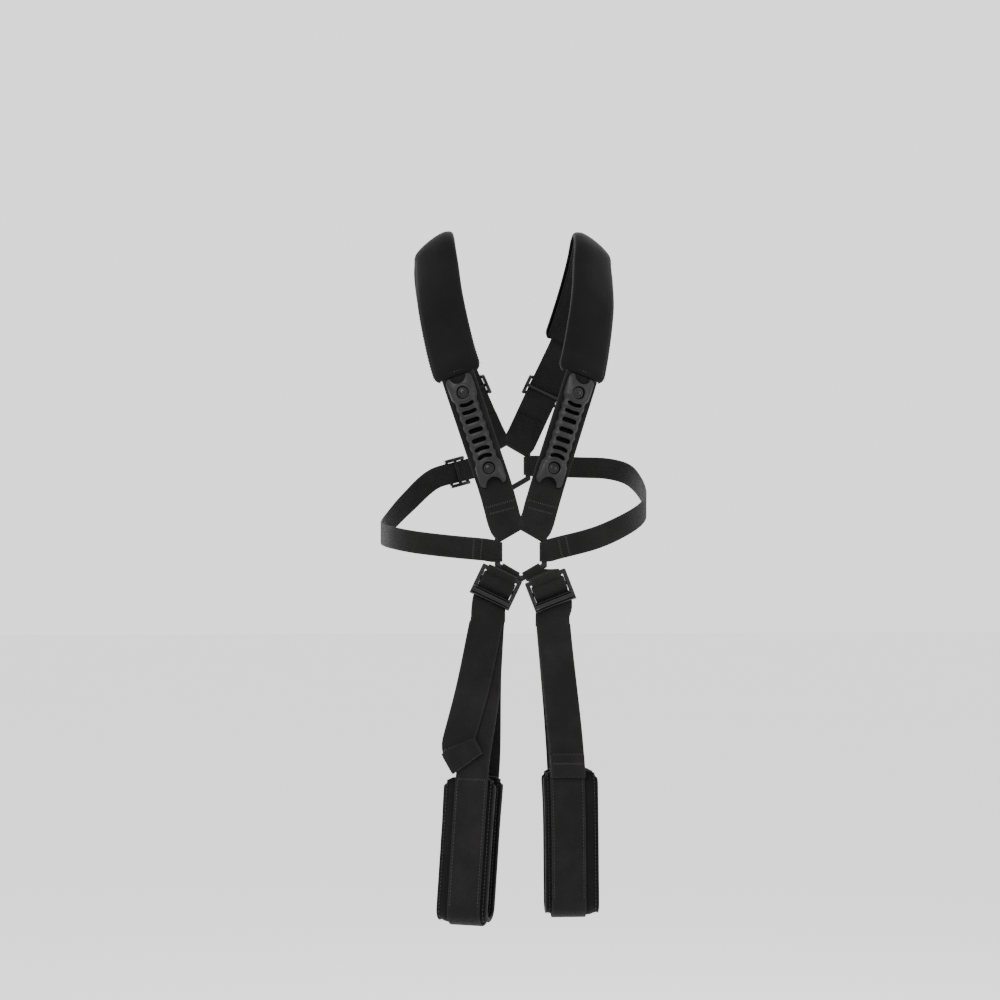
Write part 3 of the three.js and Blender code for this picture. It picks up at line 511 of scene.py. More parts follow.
def fabric_finish(name, colour, cell, depth, sheen, rough=0.92):
    """Knitted or spacer fabric: small rounded cells with a little fuzz; the colour is painted lighter on the
    cells' tops and darker in the gaps between them, as painted highlight and painted shade.
    """
    material, tree, surface = finish_nodes(
        name, colour, rough, sheen_weight=sheen, sheen_roughness=0.4, specular_ior_level=0.1)
    if tree is None:
        return material
    uv = node(tree, "UVMap", uv_map="UVMap").outputs[0]
    place = node(tree, "TexCoord").outputs["Object"]
    cells = node(tree, "TexVoronoi", {"Vector": uv, "Scale": 1 / cell, "Randomness": 0.22},
                 voronoi_dimensions="2D").outputs["Distance"]
    fuzz = noise(tree, place, 1500, 3)
    height = maths(tree, "ADD", ranged(tree, cells, 1, 0, 0, 0.6), maths(tree, "MULTIPLY", fuzz, 0.6))
    bumped(tree, surface, height, depth, 0.9)
    cloud = noise(tree, place, 18, 4, 0.6)
    # The cells term paints the cell tops lighter and the gaps between cells darker: painted highlight and
    # painted shade. The cloud noise is a random tone of the fabric.
    share = maths(tree, "ADD", ranged(tree, cloud, 0, 0.6, 0.35, 0.75), ranged(tree, cells, 0.3, 0, 0, 0.6))
    blended_colour(tree, surface, share, tuple(0.7 * c for c in colour), tuple(1.8 * c for c in colour))
    return material


def moulded_finish(name, colour, rough, grain, depth, **shader):
    """Moulded plastic or rubber: a fine grain, faint marks and rubbed places."""
    material, tree, surface = finish_nodes(name, colour, rough, **shader)
    if tree is None:
        return material
    place = node(tree, "TexCoord").outputs["Object"]
    fine = noise(tree, place, grain, 2)
    broad = noise(tree, place, 45, 4, 0.65)
    stretched = node(tree, "Mapping", {"Vector": place, "Scale": (900, 60, 240)}).outputs[0]
    marks = ranged(tree, noise(tree, stretched, 1, 3), 0, 1, 0.6, 0.75)
    bumped(tree, surface, maths(tree, "ADD", fine, maths(tree, "MULTIPLY", marks, 0.25)), depth, 0.8)
    share = maths(tree, "ADD", ranged(tree, broad, 0, 0.6, 0.35, 0.75), maths(tree, "MULTIPLY", marks, 0.35))
    blended_colour(tree, surface, share, colour, tuple(1.5 * c + 0.0012 for c in colour))
    tree.links.new(ranged(tree, share, rough * 0.85, rough * 1.3), surface.inputs["Roughness"])
    return material


def buckle_finish():
    colour = tuple(bpy.context.scene.harness_hardware.plastic_colour)
    return moulded_finish("buckle_plastic", colour, 0.2, 900, 0.00004,
                          specular_ior_level=0.24, coat_weight=0.06, coat_roughness=0.1)


def ring_finish():
    colour = tuple(bpy.context.scene.harness_hardware.ring_colour)
    return moulded_finish("ring_coating", colour, 0.3, 1300, 0.00006,
                          specular_ior_level=0.22, coat_weight=0.05, coat_roughness=0.2)


def grip_finish():
    colour = tuple(bpy.context.scene.harness_hardware.grip_colour)
    return moulded_finish("grip_rubber", colour, 0.44, 2200, 0.00012, specular_ior_level=0.24)


def rivet_finish():
    colour = tuple(bpy.context.scene.harness_hardware.rivet_colour)
    return moulded_finish("rivet_metal", colour, 0.33, 1600, 0.00003, metallic=0.85)


def thread_finish():
    colour = tuple(3 * c + 0.004 for c in bpy.context.scene.harness_webbing.colour)
    return moulded_finish("thread", colour, 0.6, 5000, 0.0001, sheen_weight=0.1,
                          specular_ior_level=0.3)


def pad_finish():
    return fabric_finish("pad_knit", tuple(bpy.context.scene.harness_pads.colour), 0.0011, 0.00018, 0.07)


def lining_finish():
    colour = tuple(1.5 * c for c in bpy.context.scene.harness_pads.colour)
    return fabric_finish("pad_lining", colour, 0.0032, 0.0006, 0.08)


def binding_finish():
    return webbing_finish(0.006, "binding_tape")


def dressed(piece, *materials):
    piece.data.materials.clear()
    for material in materials:
        piece.data.materials.append(material)
    return piece


def settled(piece, body, slot, *nodes):
    """A finished piece goes with a body of the frame and stands for its nodes."""
    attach(piece, body)
    if nodes:
        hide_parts(*nodes)
    return piece


# ------------------------------------------------------------------ shared layouts

def on_side(route, side):
    """The same route on the wearer's other side."""
    if SIDES[side] < 0:
        twin = Route.__new__(Route)
        twin.centre, twin.look, twin.along = (
            mirrored(table) for table in (route.centre, route.look, route.along))
        twin.at, twin.length = route.at, route.length
        return twin
    return route


def near_bar(folded_route, bar, away):
    """The distance at which a folded strap is at the far side of its bar."""
    place = bar - np.asarray(away) * 4.6
    return folded_route.at[np.argmin(np.linalg.norm(folded_route.centre - place, axis=1))]


def set_in_place(piece, origin, x_axis, y_axis):
    """Puts a piece made in millimetres on an origin and two axes, in metres."""
    z_axis = np.cross(x_axis, y_axis)
    basis = np.stack([x_axis, y_axis, z_axis])
    move_points(piece, (points_of(piece) @ basis + origin) * MM)
    return piece


SHOULDER = shoulder_centre_line()
SLIDER_AT = SHOULDER.length - SLIDER_TO_BACK
PAD_LENGTH = SHOULDER.length - PAD_TO_BACK - PAD_START


class Sling:
    """The shape of one hanging sling: two runs that part round the cuff."""

    def __init__(self, side):
        worn = WORN[side]
        self.worn, self.sign = worn, SIDES[side]
        self.hinge = -FRONT_DROP - worn["hinge"][1]
        self.bottom = -FRONT_DROP - worn["bottom"]
        self.bend = self.bottom + CUFF_RUN + WEB / 2
        self.cuff_top = self.bottom + CUFF_DROP
        self.line = Route([(worn["hinge"][0], 0, self.hinge), (worn["cuff"], 0, self.cuff_top),
                           (worn["foot"], 0, self.bottom)], [(0, -1, 0)] * 3)

    def spread(self, z):
        top = self.hinge - SLING_STEM
        return smoothstep(top - z, 0, top - self.cuff_top)

    def run(self, z, way, offset):
        """Places down the front (-1) or back (1) run at heights z."""
        z = np.asarray(z, float)
        spread = self.spread(z)
        y = -mix(STEM_MIDDLE, CUFF_MIDDLE, spread) + way * (mix(WEB / 2, CUFF_RUN, spread) + offset)
        return np.stack([0 * z, y, z], -1)

    def loop(self, front_top, back_top, offset):
        """The route down the front run, round the foot and up the back run."""
        def heights(top):
            return np.linspace(top, self.bend, max(3, round((top - self.bend) / 9)))
        turn = math.pi * (1 + np.arange(1, 10) / 10)
        way = np.stack([0 * turn, np.cos(turn), np.sin(turn)], -1)
        foot = way * (CUFF_RUN + offset) + (0, -CUFF_MIDDLE, self.bend)
        front = self.run(heights(front_top), -1, offset)
        back = self.run(heights(back_top)[::-1], 1, offset)
        looks = [(0, -1, 0)] * len(front) + list(way) + [(0, 1, 0)] * len(back)
        return Route(np.vstack([front, foot, back]), looks, fine=8)

    def hang(self, points, aside=0.0, drift=0.0, end=None, kink=0.0):
        """Lets a straight sling drift and twist as it hangs, on its own side."""
        x, y, z = points[:, 0] * self.sign + aside, points[:, 1] + CUFF_MIDDLE, points[:, 2]
        if kink:
            # The stiff hem of a tail swings back towards the middle.
            below = np.clip(end + 36 - z, 0, None)
            turn = math.radians(kink) * smoothstep(below, 0, 16)
            fine = np.linspace(0, 45, 400)
            bent = math.radians(kink) * smoothstep(fine, 0, 16)
            step = fine[1]
            aside_by = np.interp(below, fine, np.cumsum(np.sin(bent)) * step)
            down_by = np.interp(below, fine, np.cumsum(np.cos(bent)) * step)
            z = np.where(below > 0, end + 36 - down_by + x * np.sin(turn) * -1, z)
            x = np.where(below > 0, x * np.cos(turn) - aside_by, x)
        if drift:
            x = x + drift * (self.hinge - z) / (self.hinge - end)
        share = np.clip((self.hinge - z) / (self.hinge - self.bottom), 0, 1)
        turn = math.radians(self.worn["twist"]) * smoothstep(share, 0.08, 0.5)
        middle = self.line.frame(share * self.line.length)[0][:, 0]
        c, s = np.cos(turn), np.sin(turn)
        return np.stack([(middle + x * c - y * s) * self.sign, x * s + y * c - CUFF_MIDDLE, z], -1)


class BucklePlace:
    """Where one ladder-lock lies, for the wearer's left."""

    def __init__(self, side):
        worn = WORN[side]
        self.sign = SIDES[side]
        tilt = math.radians(worn["tilt"])
        self.along = np.array([math.cos(tilt), 0, math.sin(tilt)])
        self.down = np.array([math.sin(tilt), 0, -math.cos(tilt)])
        self.bar, self.bar_away = bar_middle(-FRONT, FRONT_DROP, -60)
        half = BUCKLE_INNER / 2 + BUCKLE_RAIL
        self.top = np.array([self.bar[0] + half - worn["inset"], -BUCKLE_DEPTH,
                             self.bar[2] - worn["drop"]])

    def axes(self):
        """Origin, X axis and back axis, on the buckle's own side."""
        if self.sign > 0:
            return self.top, self.along, np.array([0, 1.0, 0])
        return mirrored(self.top), -mirrored(self.along), np.array([0, 1.0, 0])


# ------------------------------------------------------------------ settings

class HarnessWebbing(bpy.types.PropertyGroup):
    strap_width: bpy.props.FloatProperty(
        name="Strap width", description="Width of the shoulder and sling webbing",
        default=0.038, min=0.02, max=0.06, unit="LENGTH")
    band_width: bpy.props.FloatProperty(
        name="Band width", description="Width of the chest band",
        default=0.025, min=0.015, max=0.05, unit="LENGTH")
    rib_pitch: bpy.props.FloatProperty(
        name="Rib pitch", description="Distance between the webbing's cross ribs",
        default=0.0016, min=0.0005, max=0.005, unit="LENGTH")
    yarn_width: bpy.props.FloatProperty(
        name="Yarn width", description="Width of one lengthwise yarn",
        default=0.0024, min=0.0005, max=0.005, unit="LENGTH")
    colour: bpy.props.FloatVectorProperty(
        name="Colour", description="Colour of the webbing", subtype="COLOR",
        default=(0.0040, 0.0036, 0.0035), min=0, max=1)


class HarnessPads(bpy.types.PropertyGroup):
    cover_crown: bpy.props.FloatProperty(
        name="Cover crown", description="How far the pad's outer panel domes over the webbing",
        default=0.0022, min=0, max=0.008, unit="LENGTH")
    swell: bpy.props.FloatProperty(
        name="Swell", description="The most that a pad's faces may swell",
        default=0.0012, min=0, max=0.004, unit="LENGTH")
    colour: bpy.props.FloatVectorProperty(
        name="Colour", description="Colour of the knitted pad fabric", subtype="COLOR",
        default=(0.0030, 0.0029, 0.0030), min=0, max=1)


class HarnessHardware(bpy.types.PropertyGroup):
    edge_round: bpy.props.FloatProperty(
        name="Edge rounding", description="Radius on the edges of buckles and sliders",
        default=0.0008, min=0.0002, max=0.0012, unit="LENGTH")
    plastic_colour: bpy.props.FloatVectorProperty(
        name="Buckle colour", description="Colour of the glossy plastic", subtype="COLOR",
        default=(0.0022, 0.0022, 0.0024), min=0, max=1)
    ring_colour: bpy.props.FloatVectorProperty(
        name="Ring colour", description="Colour of the coated rings", subtype="COLOR",
        default=(0.0028, 0.0028, 0.0029), min=0, max=1)
    grip_colour: bpy.props.FloatVectorProperty(
        name="Grip colour", description="Colour of the moulded rubber grips", subtype="COLOR",
        default=(0.0043, 0.0042, 0.0043), min=0, max=1)
    rivet_colour: bpy.props.FloatVectorProperty(
        name="Rivet colour", description="Colour of the rivets and washers", subtype="COLOR",
        default=(0.016, 0.016, 0.0165), min=0, max=1)


class HarnessStage(bpy.types.PropertyGroup):
    key_power: bpy.props.FloatProperty(
        name="Key light", description="Power of the main soft light", default=70, min=0,
        unit="POWER")
    sky: bpy.props.FloatProperty(
        name="Surroundings", description="Brightness of the pale surroundings", default=1.8, min=0)
    floor_drop: bpy.props.FloatProperty(
        name="Floor drop", description="Distance from the shoulders down to the floor",
        default=1.45, min=0.9, unit="LENGTH")
    tone: bpy.props.FloatVectorProperty(
        name="Backdrop tone", description="Pale tone of the floor and the surroundings",
        subtype="COLOR", default=(0.93, 0.93, 0.93), min=0, max=1)


# ------------------------------------------------------------------ operators

class HarnessOperator:
    """What every step of the harness shares."""

    bl_options = {"REGISTER", "UNDO"}

    def execute(self, context):
        self.make(context.scene)
        return {"FINISHED"}


class HARNESS_OT_rings(HarnessOperator, bpy.types.Operator):
    """Make the two hexagonal rings"""

    bl_idname = "harness.rings"
    bl_label = "Rings"

    def make(self, scene):
        for name, depth, drop in (("front", -FRONT, FRONT_DROP), ("back", BACK, BACK_DROP)):
            piece = added(f"hexagon_ring_{name}", bpy.ops.mesh.primitive_torus_add,
                          major_segments=6, minor_segments=20,
                          major_radius=RING_MIDDLE / math.cos(math.pi / 6), minor_radius=2)
            flat = points_of(piece)
            turn = np.arctan2(flat[:, 1], flat[:, 0])
            # The six mitred corners come first, so that they can be rounded.
            select_only(piece)
            bpy.ops.object.mode_set(mode="EDIT")
            bpy.ops.mesh.select_all(action="DESELECT")
            bpy.ops.object.mode_set(mode="OBJECT")
            for edge in piece.data.edges:
                a, b = edge.vertices
                edge.select = abs(math.remainder(turn[a] - turn[b], math.tau)) < 0.01
            bpy.ops.object.mode_set(mode="EDIT")
            bpy.ops.mesh.bevel(offset=3.0, segments=5, affect="EDGES")
            bpy.ops.object.mode_set(mode="OBJECT")
            flat = points_of(piece)
            ways = np.radians(np.arange(6) * 60)
            normals = np.stack([np.cos(ways + math.pi / 6), np.sin(ways + math.pi / 6)], -1)
            reach = (flat[:, :2] @ normals.T).max(1)
            away = reach - RING_MIDDLE
            angle = np.arctan2(flat[:, 2] / 2, away / (2 * math.cos(math.pi / 6)))
            section = [np.sign(part) * np.abs(part) ** 0.62 for part in (np.cos(angle), np.sin(angle))]
            flat[:, :2] *= ((RING_MIDDLE + section[0] * RING_BAR / 2) / reach)[:, None]
            flat[:, 2] = section[1] * RING_DEPTH / 2
            # The torus has a corner on its own X; the ring has one on Z.
            corner_on_z = np.stack([flat[:, 1], -flat[:, 2], flat[:, 0]], -1)
            move_points(piece, (corner_on_z + (0, depth, -drop)) * MM)
            outward_normals(piece)
            smooth(piece, 50)
            dressed(piece, ring_finish())
            settled(piece, "harness", "ring", f"{name}_ring")


class HARNESS_OT_shoulder_straps(HarnessOperator, bpy.types.Operator):
    """Make the shoulder webbing, folded round both rings and tacked"""

    bl_idname = "harness.shoulder_straps"
    bl_label = "Shoulder straps"

    def make(self, scene):
        width = scene.harness_webbing.strap_width / MM
        bars = [(*bar_middle(-FRONT, FRONT_DROP, 60), (0, -1, 0)),
                (*bar_middle(BACK, BACK_DROP, 60), (0, 1, 0))]
        route = folded(SHOULDER, bars, 30)
        at_bars = [near_bar(route, bar, away) for bar, away, _ in bars]

        def share(distance):
            nearest = np.minimum(*(np.abs(distance - at) for at in at_bars))
            return mix(32 / width, 1, smoothstep(nearest, 2, 14))

        tacks = bar_tack(17, RING_TACK_WIDTH, ON_WEB) + bar_tack(25, TACK_WIDTH, ON_WEB)
        end = SHOULDER.length
        tacks += bar_tack(end - 20.4, RING_TACK_WIDTH, ON_WEB)
        tacks += bar_tack(end - 28.4, TACK_WIDTH, ON_WEB)
        tacks += seam(-16.6, PAD_START + PAD_LENGTH + 6, SLIDER_AT - 18, 1.08, 4)
        tacks += seam(16.6, PAD_START + PAD_LENGTH + 6, SLIDER_AT - 18, 1.08, 4)
        for side in SIDES:
            strap = ribbon(f"shoulder_webbing_{side}", width, route.length)
            there = on_side(route, side)
            shaped(strap, lambda flat: there.wrap(narrowed(flat, share)))
            dressed(strap, webbing_finish())
            settled(strap, "harness", "webbing", f"shoulder_strap_{side}")
            line = on_side(SHOULDER, side)
            stitches = sewn(f"shoulder_stitches_{side}", tacks, line.wrap)
            dressed(stitches, thread_finish())
            settled(stitches, "harness", "webbing")


class HARNESS_OT_pads(HarnessOperator, bpy.types.Operator):
    """Make the padded shoulder sleeves: foam, cover panel, binding and seams"""

    bl_idname = "harness.pads"
    bl_label = "Shoulder pads"

    def make(self, scene):
        pads = scene.harness_pads
        half = PAD_WIDTH / 2
        foam = pillow("pad_foam_flat", half - 1.2, PAD_LENGTH, PAD_FOAM - 1.2, 8,
                      pads.swell / MM, hollow=0.7)
        flat = points_of(foam)
        edge = np.abs(flat[:, 0])
        flat[:, 2] *= 1 - 0.3 * np.exp(-((edge - (half - 7.5)) / 1.3) ** 2)
        move_points(foam, flat)
        for side in SIDES:
            line = on_side(SHOULDER, side)
            body = foam.copy()
            body.data = foam.data.copy()
            bpy.context.collection.objects.link(body)
            body.name = body.data.name = f"pad_foam_layer_{side}"
            lay_uv(body)
            shaped(body, lambda f: line.wrap(f + (0, PAD_START + PAD_LENGTH / 2,
                                                  -(WEB / 2 + SOFT_FIT + PAD_FOAM / 2))))
            dressed(body, lining_finish())
            settled(smooth(body, 80), "harness", "pad_lining", f"pad_foam_{side}")
            self.cover(side, line, half, pads.cover_crown / MM)
        bpy.data.objects.remove(foam, do_unlink=True)

    def cover(self, side, line, half, crown):
        # Half of the panel's section, from the middle down over the foam's edge.
        across = np.array([0, 8, 15, 19.5, 23.2, 25.8, 27.3, 27.9, 27.7, 26.9])
        above = np.array([2.6 + crown, 2.5 + crown, 2.2 + 0.8 * crown, 1.7 + 0.55 * crown,
                          0.8 + 0.3 * crown, -0.6, -2.4, -4.6, -6.6, -8.0])
        reach = np.concatenate([[0], np.cumsum(np.hypot(np.diff(across), np.diff(above)))])
        panel = added(f"pad_cover_panel_{side}", bpy.ops.mesh.primitive_grid_add,
                      x_subdivisions=34, y_subdivisions=110, size=1)
        flat = points_of(panel) * (2 * reach[-1], PAD_LENGTH + 2, 0)
        lay_uv(panel, flat)
        away, along = np.abs(flat[:, 0]), flat[:, 1]
        x = np.interp(away, reach, across)
        out = np.interp(away, reach, above)
        to_end = PAD_LENGTH / 2 + 1 - np.abs(along)
        rounding = np.clip(1 - to_end / 12, 0, 1)
        x *= 1 - 0.24 * (1 - np.sqrt(1 - rounding ** 2 * 0.98))
        out = out - 0.9 * smoothstep(9 - to_end, 0, 9) * (out > -4)
        # The seam that holds the panel to the foam, and slight slack in the knit.
        out -= 0.75 * np.exp(-((away - 25.5) / 1.0) ** 2)
        slack = np.sin(along / 23 + 0.8) * np.sin(along / 9.1 + x / 7) * 0.16
        out += slack * smoothstep(away, 26, 18)
        move_points(panel, np.stack([np.sign(flat[:, 0]) * x, along, out], -1))
        finish_with(panel, "SOLIDIFY", thickness=1.1, offset=-1)
        outward_normals(panel)
        finish_with(panel, "SUBSURF", levels=1, render_levels=1)
        shaped(panel, lambda f: line.wrap(f, PAD_START + PAD_LENGTH / 2))
        dressed(panel, pad_finish(), binding_finish())
        for face in panel.data.polygons:
            u = panel.data.uv_layers["UVMap"].data[face.loop_start].uv[0] / MM
            face.material_index = int(abs(u) > reach[-1] - 4.2)
        settled(smooth(panel, 80), "harness", "pad_fabric", f"pad_cover_{side}")
        places = []
        start, end = PAD_START + 4, PAD_START + PAD_LENGTH - 4
        for sign in (-1, 1):
            rows = seam(sign * 27.9, start, end, -4.4, 3.8)
            places += rows
        for along in (PAD_START + 3.2, PAD_START + PAD_LENGTH - 3.2):
            places += [(across, along, 2.2 + crown - 0.012 * across ** 2, 90)
                       for across in np.linspace(-17, 17, 10)]
        stitches = sewn(f"pad_stitches_{side}", places, line.wrap, 2.6, 0.32)
        dressed(stitches, thread_finish())
        settled(stitches, "harness", "pad_fabric")


def pillow(name, half, length, thick, corner, cap, hollow=1.0, voxel=3.0):
    """A padded panel made flat: swollen as cloth, held to a cap, then refined."""
    pad = added(name, bpy.ops.mesh.primitive_cube_add, size=1)
    move_points(pad, points_of(pad) * (2 * half, length, thick))
    select_only(pad)
    for edge in pad.data.edges:
        a, b = (pad.data.vertices[i].co for i in edge.vertices)
        edge.select = abs(a.z - b.z) > 1
    bpy.ops.object.mode_set(mode="EDIT")
    bpy.ops.mesh.select_mode(type="EDGE")
    bpy.ops.object.mode_set(mode="OBJECT")
    for edge in pad.data.edges:
        a, b = (pad.data.vertices[i].co for i in edge.vertices)
        edge.select = abs(a.z - b.z) > 1
    bpy.ops.object.mode_set(mode="EDIT")
    bpy.ops.mesh.bevel(offset=corner, segments=5, affect="EDGES")
    bpy.ops.object.mode_set(mode="OBJECT")
    move_points(pad, points_of(pad) * MM)
    finish_with(pad, "REMESH", mode="VOXEL", voxel_size=voxel * MM)
    rest = points_of(pad)
    select_only(pad)
    cloth = pad.modifiers.new("Cloth", "CLOTH")
    cloth.settings.quality = 6
    cloth.settings.mass = 0.2
    cloth.settings.use_pressure = True
    cloth.settings.uniform_pressure_force = 4
    cloth.settings.effector_weights.gravity = 0
    cloth.point_cache.frame_start, cloth.point_cache.frame_end = 1, 20
    for number in range(1, 21):
        bpy.context.scene.frame_set(number)
    bpy.ops.object.modifier_apply(modifier=cloth.name)
    bpy.context.scene.frame_set(1)
    swollen = points_of(pad)
    moved = swollen - rest
    far = np.linalg.norm(moved, axis=1, keepdims=True)
    rest = rest + moved * np.minimum(1, cap * MM / np.maximum(far, 1e-9))
    flat = rest / MM
    # Both faces crown between the sewn edges, which stay thin.
    inside = np.clip(1 - (np.abs(flat[:, 0]) / (half + cap)) ** 2, 0, 1)
    inside *= np.clip(1 - (np.abs(flat[:, 1]) / (length / 2 + cap)) ** 14, 0, 1)
    flat[:, 2] *= mix(1 - 0.34 * hollow, 1.02, inside ** 0.45)
    move_points(pad, flat)
    finish_with(pad, "SUBSURF", levels=1, render_levels=1)
    outward_normals(pad)
    return pad


class HARNESS_OT_grips(HarnessOperator, bpy.types.Operator):
    """Make the moulded rubber grips with their slots, crescents and seats"""

    bl_idname = "harness.grips"
    bl_label = "Grips"

    def make(self, scene):
        flat_grip = self.mould()
        for side in SIDES:
            grip = flat_grip.copy()
            grip.data = flat_grip.data.copy()
            bpy.context.collection.objects.link(grip)
            grip.name = grip.data.name = f"hand_grip_{side}"
            line = on_side(SHOULDER, side)
            shaped(grip, lambda f: line.wrap(f, GRIP_START))
            dressed(smooth(grip, 70), grip_finish())
            settled(grip, "harness", "grip_rubber", f"grip_{side}")
        bpy.data.objects.remove(flat_grip, do_unlink=True)

    def mould(self):
        grip = added("grip_flat", bpy.ops.mesh.primitive_grid_add,
                     x_subdivisions=30, y_subdivisions=130, size=1)
        flat = points_of(grip) * (1, GRIP_LENGTH, 0) + (0, GRIP_LENGTH / 2, 0)
        move_points(grip, flat)
        finish_with(grip, "SOLIDIFY", thickness=1, offset=0)
        flat = points_of(grip)
        to_end = np.minimum(flat[:, 1], GRIP_LENGTH - flat[:, 1])
        half = mix(GRIP_END, GRIP_WIDTH + 2, smoothstep(to_end, RIVET_INSET * 0.9, RIVET_INSET * 1.7)) / 2
        # The ends are rounded off at their corners.
        half = half - 5 * (1 - np.sqrt(1 - np.clip(1 - to_end / 7, 0, 0.999) ** 2))
        height = mix(0.62, 1, smoothstep(to_end, 0, RIVET_INSET)) * GRIP_HEIGHT
        across = flat[:, 0] * 2
        from_middle = flat[:, 1] - GRIP_LENGTH / 2
        ripple = -np.cos(math.tau * from_middle / 11.6) * smoothstep(46 - np.abs(from_middle), 0, 6)
        half = half + 0.55 * ripple
        height = height + 0.5 * ripple
        dome = (1 - np.abs(across) ** 3.2) ** 0.8
        top = GRIP_FLOOR + (height - GRIP_FLOOR) * np.clip(dome, 0, 1)
        top *= mix(0.55, 1, np.sqrt(np.clip(to_end / 5, 0, 1)))
        for rivet in (RIVET_INSET, GRIP_LENGTH - RIVET_INSET):
            far = np.hypot(across * half, flat[:, 1] - rivet)
            top += 1.3 * np.exp(-((far - 8.6) / 1.1) ** 2)
        level = np.where(flat[:, 2] > 0, top, 0)
        move_points(grip, np.stack([across * half, flat[:, 1], GRIP_BASE + level], -1))
        middle = GRIP_LENGTH / 2
        tools = [self.oblong(middle + step * 11.6, GRIP_WIDTH - 2 * GRIP_WALL - 2.4, 5)
                 for step in (-1, 0, 1)]
        for rivet, way in ((RIVET_INSET, 1), (GRIP_LENGTH - RIVET_INSET, -1)):
            for radius in (14.6, 23.6):
                tools.append(self.crescent(rivet, radius, 4.2, way))
            seat = GRIP_BASE + GRIP_FLOOR + 1.4
            tools.append(self.round_hole(rivet, RIVET_HEAD / 2 + FIT, seat, 30))
            tools.append(self.round_hole(rivet, 2.35, -20, 30))
        for end in (0, GRIP_LENGTH):
            tools.append(self.round_hole(end, GRIP_END * 0.3, -20, 30))
        united(grip, tools, "DIFFERENCE")
        move_points(grip, points_of(grip) * MM)
        finish_with(grip, "REMESH", mode="VOXEL", voxel_size=0.58 * MM)
        finish_with(grip, "SMOOTH", factor=0.5, iterations=3)
        move_points(grip, points_of(grip) / MM)
        return grip

    def round_hole(self, place, radius, floor, top):
        return added("tool", bpy.ops.mesh.primitive_cylinder_add, vertices=40, radius=radius,
                     depth=top - floor, location=(0, place, (top + floor) / 2))

    def oblong(self, place, width, length):
        tool = self.round_hole(place, length / 2, -20, 30)
        flat = points_of(tool)
        flat[:, 0] += np.sign(flat[:, 0].round(4)) * (width - length) / 2
        move_points(tool, flat)
        return tool

    def crescent(self, rivet, radius, thickness, way):
        reach = math.asin((GRIP_WIDTH / 2 - GRIP_WALL) / (radius + thickness / 2))
        tool = added("tool", bpy.ops.mesh.primitive_grid_add, x_subdivisions=20,
                     y_subdivisions=4, size=1)
        flat = points_of(tool)
        # The ends of a crescent are rounded.
        taper = np.sqrt(np.clip(1 - (np.abs(flat[:, 0]) * 2) ** 6, 0.02, 1))
        angle = flat[:, 0] * 2 * reach
        far = radius + flat[:, 1] * thickness * taper
        move_points(tool, np.stack([far * np.sin(angle), rivet + way * far * np.cos(angle),
                                    0 * angle + 5], -1))
        finish_with(tool, "SOLIDIFY", thickness=50, offset=0)
        return outward_normals(tool)


class HARNESS_OT_rivets(HarnessOperator, bpy.types.Operator):
    """Make the domed rivets and finish the washers behind them"""

    bl_idname = "harness.rivets"
    bl_label = "Rivets"

    def make(self, scene):
        seat = GRIP_BASE + GRIP_FLOOR + 1.4 + FIT
        for name, inset in (("lower", RIVET_INSET), ("upper", GRIP_LENGTH - RIVET_INSET)):
            for side in SIDES:
                rivet = self.rivet(f"rivet_{name}_{side}", seat)
                centre, across, out, _ = on_side(SHOULDER, side).frame(GRIP_START + inset)
                # The rivet stands along its own Z, which points outwards.
                set_in_place(rivet, centre, across, np.cross(out, across))
                dressed(smooth(rivet, 35), rivet_finish())
                settled(rivet, "harness", "rivet_metal", f"grip_rivet_{name}_{side}")
                dressed(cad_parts[f"rivet_washer_{name}_{side}"], rivet_finish())

    def rivet(self, name, seat):
        disc = added(name, bpy.ops.mesh.primitive_cylinder_add, vertices=48,
                     radius=RIVET_HEAD / 2, depth=1.5, location=(0, 0, seat + 0.75))
        finish_with(disc, "BEVEL", width=0.5, segments=3, limit_method="ANGLE",
                    angle_limit=math.radians(40))
        dome = added("dome", bpy.ops.mesh.primitive_uv_sphere_add, segments=40, ring_count=20, radius=1)
        move_points(dome, points_of(dome) * (4.4, 4.4, 1.35) + (0, 0, seat + 1.0))
        foot = -(WEB / 2 + FIT + 1 + FIT)
        shank = added("shank", bpy.ops.mesh.primitive_cylinder_add, vertices=24, radius=2,
                      depth=seat + 0.5 - foot + 0.6, location=(0, 0, (seat + 0.5 + foot - 0.6) / 2))
        tail = added("tail", bpy.ops.mesh.primitive_cylinder_add, vertices=24, radius=3.4,
                     depth=1.2, location=(0, 0, foot - 0.6))
        finish_with(tail, "BEVEL", width=0.35, segments=2, limit_method="ANGLE",
                    angle_limit=math.radians(40))
        united(disc, [dome, shank, tail])
        dimple = added("dimple", bpy.ops.mesh.primitive_uv_sphere_add, segments=24, ring_count=12,
                       radius=1.7, location=(0, 0, seat + 3.35))
        return outward_normals(united(disc, [dimple], "DIFFERENCE"))


